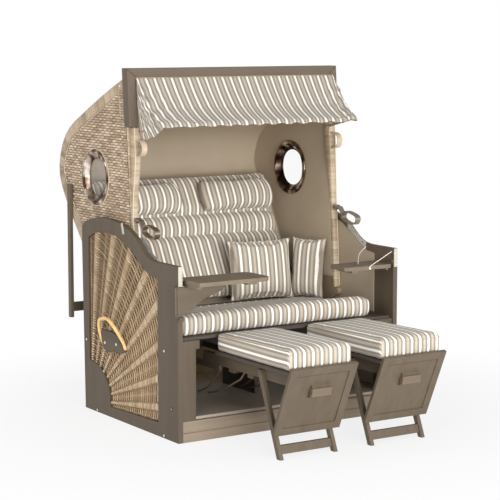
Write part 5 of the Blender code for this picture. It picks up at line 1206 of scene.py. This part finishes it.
def sun_panels():
    """Fans of strands woven over raised rays, with gaps between the rays."""
    start, stop = (math.radians(a) for a in (FAN_START, FAN_STOP))
    step = (stop - start) / RAY_COUNT
    for side_name, sign in SIDES:
        tree = tree_of("sun_wicker_" + side_name)
        points = []
        faces = []
        tones = []
        painted_shades = []
        sides = 6
        arcs = int((1.36 - 0.13) / ARC_PITCH)
        for arc in range(arcs):
            first = 0.13 + ARC_PITCH * arc
            angles = np.arange(start - 0.03, stop + 0.03, min(0.018, 0.0065 / first))
            radii = first * np.exp(-SPIRAL * (angles - start))
            inside = [window_span(tree, sign, r, [a])[0] for r, a in zip(radii, angles)]
            tone = 0.30 + 0.35 * chance.random()
            drift = chance.random()
            ring_before = None
            for k, angle in enumerate(angles):
                near = inside[k] or (k > 0 and inside[k - 1]) or (k + 1 < len(angles) and inside[k + 1])
                if not near:
                    if ring_before is not None:
                        faces.append(tuple(ring_before))
                    ring_before = None
                    continue
                share = ((angle - start) / step) % 1
                number = int((angle - start) / step)
                crest = crest_share(share)
                fan = (angle - start) / (stop - start)
                pitch = ARC_PITCH * radii[k] / first
                open_wide = 0.37 + 0.27 * min(1, max(0, fan * 1.7 - 0.45))
                wide = pitch * (open_wide + (0.70 - open_wide) * crest)
                thick = 0.0030 - 0.0003 * crest
                parity = 1 if (arc + number) % 2 else -1
                valley = ((share + 0.5) % 1 - 0.5) * 2 * math.pi / (1 - 2 * CREST_HALF)
                weave_x = parity * 0.0013 * math.sin(valley) * (1 - crest)
                x = VALLEY_X + (CREST_X - VALLEY_X) * crest + weave_x
                ring = []
                for n in range(sides):
                    turn = 2 * math.pi * n / sides
                    reach = radii[k] + math.cos(turn) * wide / 2
                    points.append((sign * (x + math.sin(turn) * thick / 2),
                                   RAY_HUB.y + reach * math.cos(angle),
                                   RAY_HUB.z + reach * math.sin(angle)))
                    ring.append(len(points) - 1)
                    # painted highlight: strands are made lighter where they rise over a ray
                    tones.append(min(1, tone + 0.17 * crest + 0.12 * math.sin(angle * 9 + drift * 6)))
                    # painted shade on the backs of the strands and where a strand dips back between the
                    # rays
                    under = 0.45 if math.sin(turn) < -0.1 else 0.12 if math.sin(turn) < 0.1 else 0.0
                    painted_shades.append(min(0.9, max(0, under + 0.05 - weave_x * 110)))
                if ring_before is not None:
                    for n in range(sides):
                        nxt = (n + 1) % sides
                        faces.append((ring_before[n], ring_before[nxt], ring[nxt], ring[n]))
                else:
                    faces.append(tuple(reversed(ring)))
                ring_before = ring
            if ring_before is not None:
                faces.append(tuple(ring_before))
        strands = mesh_piece("sun_strands_" + side_name, points, faces, sun_weave)
        set_value(strands, "tone", tones)
        set_value(strands, "depth", painted_shades)
        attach(strands, "base")
        rods = []
        # stakes in the valleys and at the rays' edges, dark in tone and darkened by depth: partly the real
        # stakes, partly painted shadow lines beside the raised rays
        for ray in range(RAY_COUNT):
            for share in (0.0, 0.31, 0.70):
                angle = start + step * (ray + share)
                radii = np.arange(0.13, 1.05, 0.012)
                inside = [window_span(tree, sign, r, [angle])[0] for r in radii]
                span = radii[np.array(inside)]
                if len(span) < 3:
                    continue
                x = VALLEY_X + (0.0030 if share > 0 else -0.0006)
                ends = ((span[0] - 0.006), (span[-1] + 0.006))
                path = [(sign * x, RAY_HUB.y + r * math.cos(angle), RAY_HUB.z + r * math.sin(angle))
                        for r in (ends[0], (ends[0] + ends[1]) / 2, ends[1])]
                rod = tube("rod", path, 0.0022, sun_weave, 6)
                set_value(rod, "tone", np.full(len(rod.data.vertices), 0.20 + 0.3 * chance.random()))
                set_value(rod, "depth", np.full(len(rod.data.vertices), 0.30))
                rods.append(rod)
        stakes = join("sun_stakes_and_shadow_lines_" + side_name, rods)
        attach(stakes, "base")
        # near-black copy of the panel just behind the strands: painted shadow seen in the gaps
        node = "sun_wicker_" + side_name
        mesh = nodes[node].data.copy()
        backing = bpy.data.objects.new("sun_shadow_backing_" + side_name, mesh)
        bpy.context.scene.collection.objects.link(backing)
        places = points_of(backing)
        places[:, 0] = np.sign(places[:, 0]) * (0.5736 + 0.0012 * (np.abs(places[:, 0]) > 0.578))
        move_points(backing, places)
        mesh.materials.clear()
        mesh.materials.append(dark_weave)
        set_value(backing, "tone", np.full(len(mesh.vertices), 0.3))
        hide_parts(node)
        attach(backing, "base")


# Awning

AWNING_HALF = 0.537
SIDE_CLOTH = 0.205
AWNING_TOP_Z = 1.557
BAR_Y = -0.036
BAR_Z = 1.3675
DROP_SHARES = ((0, 0), (0.12, 0.17), (0.235, 0.33), (0.36, 0.48), (0.52, 0.66), (0.70, 0.79),
               (0.88, 0.89), (1, 0.94))


AWNING_TOP = (-0.530, 0.547)
AWNING_HEM = (-0.523, 0.521)


def awning_x(s, v):
    """X at s across and v down: the hem is a little narrower than the top."""
    t = min(1, v)
    low = AWNING_TOP[0] * (1 - t) + AWNING_HEM[0] * t
    high = AWNING_TOP[1] * (1 - t) + AWNING_HEM[1] * t
    share = (s / AWNING_HALF + 1) / 2
    return low + (high - low) * share


def awning_point(s, v):
    """Place on the awning at s across and v down, before folds."""
    beyond = max(0, abs(s) - AWNING_HALF)
    sign = 1 if s > 0 else -1
    shares = DROP_SHARES
    level = v * len(shares)
    index = min(int(level), len(shares) - 1)
    if level < len(shares) - 1:
        t = level - index
        out = shares[index][0] * (1 - t) + shares[index + 1][0] * t
        down = shares[index][1] * (1 - t) + shares[index + 1][1] * t
    else:
        t = level - (len(shares) - 1)
        out = 1 + 0.05 * math.sin(t * 1.9)
        down = 0.94 + 0.09 * t
    top_y = hood_front(AWNING_TOP_Z) - FORWARD - 0.003
    drop = (BAR_Z - AWNING_TOP_Z) / 0.94
    y = top_y + (BAR_Y - top_y) * out
    z = AWNING_TOP_Z + drop * down
    if beyond == 0:
        return Vector((awning_x(s, v), y, z))
    share = beyond / SIDE_CLOTH
    foot_y = BAR_Y + (hood_front(1.30) - FORWARD - 0.008 - BAR_Y) * share
    foot_z = 1.356 - 0.020 * share - 0.006 * math.sin(math.pi * share)
    if sign < 0:
        foot_z = 1.336 - 0.050 * share - 0.010 * math.sin(math.pi * share)
    head_y = top_y - 0.004
    head_z = AWNING_TOP_Z - 0.10 * share
    bend = math.sin(math.pi * min(1, v)) * 0.020 * (1 - share)
    t = min(1, v) ** 0.9
    y2 = head_y + (foot_y - head_y) * t
    z2 = head_z + (foot_z - head_z) * t
    blend = min(1, beyond / 0.030)
    edge = awning_x(sign * AWNING_HALF, v) - sign * (0.004 - bend * 0.3)
    place = Vector((edge, y + (y2 - y) * blend, z + (z2 - z) * blend))
    place.y = min(place.y, hood_front(place.z) - FORWARD - 0.004)
    return place


def awning():
    """Continuous striped sheet over the bow, gathered at both ends."""
    reach = AWNING_HALF + SIDE_CLOTH
    wide = 380
    tall = 46
    grid = np.zeros((tall + 1, wide + 1, 3))
    flow = np.zeros((tall + 1, wide + 1))
    for i in range(tall + 1):
        v = i / tall
        for j in range(wide + 1):
            s = -reach + 2 * reach * j / wide
            grid[i, j] = awning_point(s, v)
            flow[i, j] = s
    across = np.gradient(grid, axis=1)
    down = np.gradient(grid, axis=0)
    normal = np.cross(across, down)
    normal /= np.maximum(np.linalg.norm(normal, axis=2, keepdims=True), 1e-9)
    v = np.linspace(0, 1, tall + 1)[:, None]
    s = flow
    left = np.exp(-((s + AWNING_HALF + 0.02) / 0.14) ** 2)
    right = np.exp(-((s - AWNING_HALF - 0.02) / 0.09) ** 2)
    ends = 0.62 * left + 0.7 * right
    loose = np.sin(np.pi * np.clip(v * 1.02, 0, 1)) ** 0.8
    crease = np.sin(s * 71 + 5 * v + 1.8 * np.sin(s * 23 + 3 * v))
    fine = np.sin(s * 148 - 9 * v + 2.2 * np.sin(s * 37 + 5 * v))
    slant = np.sin((s * 0.75 + (v - 0.5) * 0.32) * 92 + 2 * np.sin(s * 29))
    swell = np.sin(s * 2 * np.pi / 0.19 + 0.6 * np.sin(s * 9)) * 0.0032
    fold = swell * (0.3 + 0.7 * v) * loose
    fold = fold + ends * loose * (0.0062 * crease + 0.0032 * fine + 0.0052 * slant)
    fold = fold + 0.0011 * np.sin(s * 95 + 2.1 * np.sin(s * 41)) * loose * (1 - ends * 0.5)
    grid += normal * fold[..., None]
    hem = np.clip((v - 0.80) / 0.20, 0, 1) ** 1.5
    scallop = (0.0034 * np.sin(s * 2 * np.pi / 0.092 + 1.4 * np.sin(s * 7)) - 0.0018
               + ends * 0.0052 * np.sin(s * 64 + 1.0))
    grid[..., 2] += hem * scallop
    grid[..., 1] += hem * 0.0045 * np.sin(s * 2 * np.pi / 0.061 + np.sin(s * 13)) - hem * 0.0065
    flare = np.exp(-((s - AWNING_HALF + 0.01) / 0.035) ** 2) * np.clip(v, 0, 1) ** 3
    grid[..., 0] += flare * 0.006
    grid[..., 2] += flare * 0.006
    seam = np.exp(-((v - 0.93) / 0.012) ** 2) * 0.0012
    grid += normal * seam[..., None]
    mask = np.ones(grid.shape[:2], bool)
    sheet = sheet_mesh("awning", grid, mask, awning_stripes_painted_shade)
    set_value(sheet, "stripe", (flow + 0.0035)[mask])
    thick = sheet.modifiers.new("thickness", "SOLIDIFY")
    thick.thickness = 0.0014
    thick.offset = 0
    bake(sheet)
    sheet.data.shade_smooth()
    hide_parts("awning_cloth")
    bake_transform(sheet)
    z = AWNING_TOP_Z + 0.0005
    welt = tube("awning_welt", [(x, hood_front(z) - FORWARD - 0.0035, z) for x in
                                np.linspace(AWNING_TOP[0], AWNING_TOP[1], 12)], 0.0021, bow_wood, 6)
    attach(welt, "hood")
    return sheet


# Handles, portholes, bolts and cords

HANDLE_ORIGIN = (0.172, 0.310)
HANDLE_SIZE = (0.232, 0.092)
HANDLE_FACE = (0.5863, 0.5998)
PLATE_SHARES = ((0.828, 0), (1, 0.674), (0.974, 0.957), (0.612, 1), (0.293, 0.902), (0.121, 0.522),
                (0, 0.250), (0.181, 0.087), (0.556, 0.022))
CANE_SHARES = ((0.03, 0.850, 0.080), (0.20, 0.965, 0.480), (0.62, 0.990, 1.060), (0.95, 0.900, 1.490),
               (1, 0.720, 1.660), (1, 0.520, 1.640), (0.93, 0.320, 1.400), (0.58, 0.150, 0.950),
               (0.20, 0.060, 0.580), (0.03, 0.030, 0.290))
HANDLE_BOLTS = ((0.802, 0.38), (0.336, 0.467))
CANE_RADIUS = 0.0084
CANE_STAND_OFF = 0.026


def handle_place(sign, x, along, up):
    return Vector((sign * x, HANDLE_ORIGIN[0] + HANDLE_SIZE[0] * along,
                   HANDLE_ORIGIN[1] + HANDLE_SIZE[1] * up))


def carry_handles():
    """Dark plate, bent cane grip and two screws on each side."""
    for side_name, sign in SIDES:
        inner, outer = HANDLE_FACE
        edge = 0.0022
        outline = [handle_place(sign, 0, a, u) for a, u in PLATE_SHARES]
        outline = smooth_path(outline, 3, closed=True)
        middle = sum(outline, Vector()) / len(outline)
        points = []
        for x, shrink in ((inner, 0), (outer - edge, 0), (outer, edge)):
            for place in outline:
                inward = (middle - place).normalized() * shrink
                points.append(Vector((sign * x, place.y + inward.y, place.z + inward.z)))
        count = len(outline)
        faces = [tuple(range(count)), tuple(reversed(range(2 * count, 3 * count)))]
        for level in (0, 1):
            for k in range(count):
                nxt = (k + 1) % count
                faces.append((level * count + k, level * count + nxt, (level + 1) * count + nxt,
                              (level + 1) * count + k))
        plate = mesh_piece("handle_plate_" + side_name, points, faces, side_wood_long, smooth=False)
        root = outer - CANE_RADIUS * 1.2
        path = smooth_path([handle_place(sign, root + CANE_STAND_OFF * out, a, u)
                            for out, a, u in CANE_SHARES], 8)
        radii = []
        for k in range(len(path)):
            share = k / (len(path) - 1)
            swell = 0.0004 * math.cos(share * 2 * math.pi * 3)
            radii.append(CANE_RADIUS * (0.86 + 0.14 * math.sin(math.pi * share)) + swell)
        grip = tube("handle_cane_" + side_name, path, CANE_RADIUS, cane, 14, radii=radii)
        screws = [dome("handle_screw_%s_%d" % (side_name, k), handle_place(sign, outer, a, u), (sign, 0, 0),
                       0.0072, 0.003, bright_zinc) for k, (a, u) in enumerate(HANDLE_BOLTS)]
        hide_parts("carry_handle_" + side_name)
        for thing in (plate, grip, *screws):
            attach(thing, "base")


PORT_CENTRE = Vector((0, 0.510, 1.094))
PORT_FACE = 0.558
PORT_PROFILE = ((0.1300, 0.0003), (0.1304, 0.0018), (0.1288, 0.0040), (0.1250, 0.0066), (0.1205, 0.0082),
                (0.1160, 0.0078), (0.1120, 0.0054), (0.1095, 0.0020), (0.1065, -0.0006), (0.1025, -0.0030),
                (0.0985, -0.0062), (0.0945, -0.0090), (0.0905, -0.0112), (0.0880, -0.0126),
                (0.0870, -0.0140))
INNER_FACE = 0.0300


def portholes():
    """Chrome rings with screws, on both faces of each hood wall."""
    steps = 72
    for side_name, sign in SIDES:
        inner_profile = [(r * 1.03, -INNER_FACE - 1.3 * x) for r, x in reversed(PORT_PROFILE)]
        profile = list(PORT_PROFILE) + inner_profile
        points = []
        faces = []
        for r, x in profile:
            for k in range(steps):
                turn = 2 * math.pi * k / steps
                points.append((sign * (PORT_FACE + x), PORT_CENTRE.y + r * math.cos(turn),
                               PORT_CENTRE.z + r * math.sin(turn)))
        count = len(profile)
        for level in range(count):
            nxt_level = (level + 1) % count
            for k in range(steps):
                nxt = (k + 1) % steps
                faces.append((level * steps + k, level * steps + nxt, nxt_level * steps + nxt,
                              nxt_level * steps + k))
        ring = mesh_piece("port_ring_" + side_name, points, faces, chrome)
        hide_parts("porthole_ring_" + side_name)
        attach(ring, "hood")
        path = [(sign * (PORT_FACE + 0.0008), PORT_CENTRE.y + 0.1325 * math.cos(2 * math.pi * k / 90),
                 PORT_CENTRE.z + 0.1325 * math.sin(2 * math.pi * k / 90)) for k in range(90)]
        edge = tube("port_edging_" + side_name, path, 0.0030, trim_weave, 6, closed=True)
        set_value(edge, "tone", np.full(len(edge.data.vertices), 0.75))
        set_value(edge, "depth", np.zeros(len(edge.data.vertices)))
        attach(edge, "hood")
        for k in range(4):
            turn = math.radians(38 + 90 * k)
            place = (sign * (PORT_FACE + 0.0060), PORT_CENTRE.y + 0.1145 * math.cos(turn),
                     PORT_CENTRE.z + 0.1145 * math.sin(turn))
            screw = dome("port_screw_%s_%d" % (side_name, k), place, (sign, 0, 0), 0.0040, 0.0022,
                         bright_zinc)
            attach(screw, "hood")


SIDE_BOLTS = ((0.560, 0.329, 0.0068), (-0.166, 0.388, 0.0068), (-0.1615, 0.0115, 0.0066),
              (0.460, 0.0095, 0.0066), (-0.2277, 0.1406, 0.0030))


def bolts():
    """Pale screw heads on the side frames, the hood's corners and the rear legs."""
    for side_name, sign in SIDES:
        for k, (y, z, radius) in enumerate(SIDE_BOLTS):
            screw = dome("side_bolt_%s_%d" % (side_name, k), (sign * 0.5885, y, z), (sign, 0, 0),
                         radius, 0.0030, bright_zinc)
            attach(screw, "base")
        for k, z in enumerate((1.52, 1.40)):
            place = (sign * 0.558, hood_front(z) + (0.068 if k == 0 else 0.022), z)
            screw = dome("hood_screw_%s_%d" % (side_name, k), place, (sign, 0, 0),
                         0.0055 if k == 0 else 0.0036, 0.0040, bright_zinc)
            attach(screw, "hood")


GLIDE_STRIPS = ((0.198, 0.8865, 0.050, 0.014, 20), (0.546, 0.949, 0.026, 0.005, 8))


def glide_strips():
    """Pale strips let into the outside of each panel's crest, beside the hood."""
    for side_name, sign in SIDES:
        for k, (y, z, tall, wide, lean) in enumerate(GLIDE_STRIPS):
            strip = block("glide_strip_%s_%d" % (side_name, k), (0.004, wide, tall), cream, 0.001)
            turn = math.radians(lean)
            up = Vector((0, math.sin(turn), math.cos(turn)))
            face = 0.5885 if k == 0 else 0.5580
            stand(strip, (sign * (face + 0.0012), y, z), X_AXIS, up.cross(X_AXIS), up)
            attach(strip, "base" if k == 0 else "hood")


FLAP_HEAD = Vector((0, -0.877, 0.398))
FLAP_FOOT = Vector((0, -0.743, 0.099))
FLAP_BORDER = 0.035
FLAP_RECESS = 0.004


def flap_details():
    """Shadow line under each flap's upper rail and the raised grip on its panel."""
    up = (FLAP_HEAD - FLAP_FOOT).normalized()
    out = Vector((0, -up.z, up.y))
    length = (FLAP_HEAD - FLAP_FOOT).length
    for side_name, _ in SIDES:
        low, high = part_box("footrest_flap_" + side_name)
        middle = (low.x + high.x) / 2
        wide = high.x - low.x - 2 * FLAP_BORDER
        panel = FLAP_FOOT - out * FLAP_RECESS + X_AXIS * middle
        # dark strip just below the upper rail: painted shadow
        line = block("flap_line_" + side_name, (wide, 0.0042, 0.0008), painted_shadow_line, 0.0002)
        stand(line, panel + up * (length - FLAP_BORDER - 0.0021) + out * 0.0004, X_AXIS, up, out)
        # grip in the lighter copy of the front wood: painted light
        grip = block("flap_grip_" + side_name, (0.098, 0.036, 0.020), handle_wood, 0.003)
        tilt = math.radians(-12)
        stand(grip, panel + up * (length * 0.655) + out * 0.016, X_AXIS,
              up * math.cos(tilt) + out * math.sin(tilt), out * math.cos(tilt) - up * math.sin(tilt))
        for piece in (line, grip):
            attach(piece, "footrest_slide_" + side_name)


def rear_lining():
    """Tan inner face of the base's back, behind the gaps between its slats."""
    sheet = block("rear_lining", (1.11, 0.002, 0.250), rear_tan, 0.0004)
    stand(sheet, (0, 0.5340, 0.2290), X_AXIS, Vector((0, 1, 0)), Z_AXIS)
    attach(sheet, "base")


TABLE_WALL_X = 0.5646
TABLE_FRONT_Y = -0.279
TABLE_CAD_FRONT_Y = -0.406
TABLE_WIDTH_SHARE = 0.700
TABLE_DEPTH_SHARE = 0.740
TABLE_DROP = 0.014


def right_table():
    """Right table at the place that it has beside the panel, its front edge flush with it."""
    node = "side_table_right"
    mesh = nodes[node].data.copy()
    thing = bpy.data.objects.new("right_table_board", mesh)
    bpy.context.scene.collection.objects.link(thing)
    places = points_of(thing)
    places[:, 0] = TABLE_WALL_X - (TABLE_WALL_X - places[:, 0]) * TABLE_WIDTH_SHARE
    places[:, 1] = TABLE_FRONT_Y + (places[:, 1] - TABLE_CAD_FRONT_Y) * TABLE_DEPTH_SHARE
    places[:, 2] -= TABLE_DROP
    move_points(thing, places)
    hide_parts(node)
    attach(thing, "table_hinge_right")


CORD_RADIUS = 0.0016
KNOB_RADII = (0.0038, 0.0060, 0.0042)
CORD_ROUTES = (
    ("table_cord_front", ((0.5605, -0.280, 0.756), (0.5010, -0.2805, 0.7270), (0.4360, -0.2815, 0.6960),
                          (0.4330, -0.2820, 0.6860))),
    ("table_cord_rear", ((0.5605, -0.082, 0.757), (0.4980, -0.112, 0.7290), (0.4360, -0.1870, 0.7000),
                         (0.4330, -0.1880, 0.6900))),
)


def cords():
    """Thin cords that hold the right table, with a white knob at each low end."""
    for name, route in CORD_ROUTES:
        path = smooth_path(route, 6)
        cord = tube(name + "_line", path, CORD_RADIUS, cord_white, 8)
        core = [Vector(route[-1]) + Vector((0, 0, 0.005 * k - 0.006)) for k in range(len(KNOB_RADII))]
        knob = tube(name + "_knob", core, 0.0058, cord_white, 12, radii=list(KNOB_RADII))
        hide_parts(name)
        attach(knob, "table_hinge_right")
        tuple(route[0])
        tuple(route[-1])
        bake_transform(cord)
        length = sum((b - a).length for a, b in zip(path, path[1:]))
        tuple(route[0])
        [tuple(p) for p in path]


# Camera, lights and floor

def camera():
    data = bpy.data.cameras.new("camera")
    thing = bpy.data.objects.new("camera", data)
    bpy.context.scene.collection.objects.link(thing)
    a = math.radians(CAMERA_AZIMUTH)
    e = math.radians(CAMERA_ELEVATION)
    back = Vector((math.sin(a) * math.cos(e), -math.cos(a) * math.cos(e), math.sin(e)))
    thing.location = CAMERA_PLACE
    thing.rotation_mode = "QUATERNION"
    thing.rotation_quaternion = (-back).to_track_quat("-Z", "Y")
    data.sensor_width = SENSOR
    data.lens = FOCAL_PIXELS * SENSOR / PHOTO_SIZE
    data.shift_x = (PHOTO_SIZE / 2 - OPTICAL_CENTRE[0]) / PHOTO_SIZE
    data.shift_y = (OPTICAL_CENTRE[1] - PHOTO_SIZE / 2) / PHOTO_SIZE
    data.clip_end = 100
    bpy.context.scene.camera = thing


def area_light(name, place, aim, size, power):
    data = bpy.data.lights.new(name, "AREA")
    data.shape = "RECTANGLE"
    data.size = size[0]
    data.size_y = size[1]
    data.energy = power
    thing = bpy.data.objects.new(name, data)
    bpy.context.scene.collection.objects.link(thing)
    thing.location = place
    thing.rotation_mode = "QUATERNION"
    thing.rotation_quaternion = (Vector(aim) - Vector(place)).to_track_quat("-Z", "Y")


def studio():
    world = bpy.data.worlds.new("studio")
    bpy.context.scene.world = world
    world.use_nodes = True
    tree = world.node_tree
    background = tree.nodes["Background"]
    path = tree.nodes.new("ShaderNodeLightPath")
    shown = tree.nodes.new("ShaderNodeMath")
    shown.operation = "MAXIMUM"
    tree.links.new(path.outputs["Is Camera Ray"], shown.inputs[0])
    tree.links.new(path.outputs["Is Transmission Ray"], shown.inputs[1])
    strength = tree.nodes.new("ShaderNodeMix")
    strength.data_type = "FLOAT"
    tree.links.new(shown.outputs[0], strength.inputs["Factor"])
    strength.inputs[2].default_value = 0.50
    strength.inputs[3].default_value = 1.0
    background.inputs["Color"].default_value = (1, 1, 1, 1)
    tree.links.new(strength.outputs[0], background.inputs["Strength"])
    area_light("front", (-1.0, -7.0, 1.3), (0, 0.1, 0.55), (4.4, 2.4), 405)
    area_light("low_front", (-1.2, -5.5, 0.5), (0, -0.3, 0.3), (3.6, 0.8), 45)
    area_light("key", (-3.6, -4.0, 4.6), (0, 0, 0.7), (3.2, 3.2), 55)
    area_light("left", (-5.4, 0.2, 2.0), (0, 0, 0.8), (3.2, 2.8), 95)
    area_light("right", (4.6, -3.6, 2.4), (0, 0, 0.8), (3.5, 3.0), 40)


def floor():
    """Pale floor that turns into plain white away from the chair."""
    size = 30
    material = bpy.data.materials.new("studio_floor")
    material.use_nodes = True
    thing = mesh_piece("studio_floor", [(-size, -size, -0.0005), (size, -size, -0.0005),
                                        (size, size, -0.0005), (-size, size, -0.0005)],
                       [(0, 1, 2, 3)], material, smooth=False)
    tree = material.node_tree
    shader = tree.nodes["Principled BSDF"]
    shader.inputs["Base Color"].default_value = (0.86, 0.86, 0.86, 1)
    shader.inputs["Roughness"].default_value = 0.9
    shader.inputs["Specular IOR Level"].default_value = 0.0
    white = tree.nodes.new("ShaderNodeEmission")
    path = tree.nodes.new("ShaderNodeLightPath")
    place = tree.nodes.new("ShaderNodeNewGeometry")
    length = tree.nodes.new("ShaderNodeVectorMath")
    length.operation = "LENGTH"
    tree.links.new(place.outputs["Position"], length.inputs[0])
    spread = tree.nodes.new("ShaderNodeMapRange")
    spread.interpolation_type = "SMOOTHSTEP"
    spread.inputs["From Min"].default_value = 0.8
    spread.inputs["From Max"].default_value = 2.2
    spread.inputs["To Min"].default_value = 0.80
    spread.inputs["To Max"].default_value = 1.0
    tree.links.new(length.outputs["Value"], spread.inputs["Value"])
    seen = tree.nodes.new("ShaderNodeMath")
    seen.operation = "MAXIMUM"
    tree.links.new(path.outputs["Is Camera Ray"], seen.inputs[0])
    tree.links.new(path.outputs["Is Glossy Ray"], seen.inputs[1])
    amount = tree.nodes.new("ShaderNodeMath")
    amount.operation = "MULTIPLY"
    tree.links.new(spread.outputs["Result"], amount.inputs[0])
    tree.links.new(seen.outputs[0], amount.inputs[1])
    mixer = tree.nodes.new("ShaderNodeMixShader")
    tree.links.new(amount.outputs[0], mixer.inputs["Fac"])
    tree.links.new(shader.outputs[0], mixer.inputs[1])
    tree.links.new(white.outputs[0], mixer.inputs[2])
    tree.links.new(mixer.outputs[0], tree.nodes["Material Output"].inputs["Surface"])


def dress_nodes():
    """Materials of the CAD nodes that stay."""
    for side_name, _ in SIDES:
        paint("side_frame_" + side_name, side_wood)
        paint("sun_wicker_" + side_name, dark_weave)
        paint("side_lining_" + side_name, lining)
        paint("carry_handle_" + side_name, side_wood_long)
        paint("front_stile_" + side_name, side_wood)
        paint("latch_strip_" + side_name, aluminium)
        paint("corner_cap_" + side_name, cream)
        paint("hood_side_" + side_name, trim_weave)
        paint("hood_lining_" + side_name, lining)
        paint("porthole_ring_" + side_name, chrome)
        paint("porthole_glass_" + side_name, clear_glass)
        paint("edge_stile_" + side_name, trim_weave)
        paint("recline_lever_" + side_name, bronze)
        paint("footrest_flap_" + side_name, front_upright)
        paint("footrest_deck_" + side_name, dark_wood)
        paint("footrest_frame_" + side_name, side_wood_long)
        paint("leg_frame_" + side_name, front_upright)
        paint("side_table_" + side_name, table_wood)
    paint("plinth", wood("plinth_wood", PLINTH_COLOUR, "x"))
    paint("floor_board", floor_lining)
    paint("seat_board", dark_wood)
    paint("centre_divider", dark_wood)
    paint("seat_frame", dark_wood)
    # rear panel and roof in the near-black strand: painted shadow
    paint("rear_panel", dark_weave)
    paint("hood_roof", dark_weave)
    paint("hood_lining_back", lining)
    paint("hood_front_frame", front_across)
    paint("back_panel", lining)
    paint("rear_frame", front_upright)
    paint("awning_bow", bow_wood)
    # right hood lining in the lighter copy: painted light
    paint("hood_lining_right", lining_painted_lit)
    paint("gusset_bracket", front_across)
    paint("awning_cloth", cloth)
    paint("table_cord_front", cord_white)
    paint("table_cord_rear", cord_white)
    set_value(nodes["awning_cloth"], "stripe", points_of(nodes["awning_cloth"])[:, 0])
    soften("hood_lining_back", lining)
    soften("hood_roof", dark_weave)


dress_nodes()
seat_pad()
back_pad()
headrests()
throw_pillows()
footrest_pads()
hood_walls()
post_skins()
hood_frame()
roof_weave()
sun_panels()
awning()
carry_handles()
portholes()
bolts()
glide_strips()
flap_details()
rear_lining()
right_table()
cords()
camera()
studio()
floor()
bpy.context.scene.view_settings.view_transform = "Standard"

bpy.context.view_layer.update()
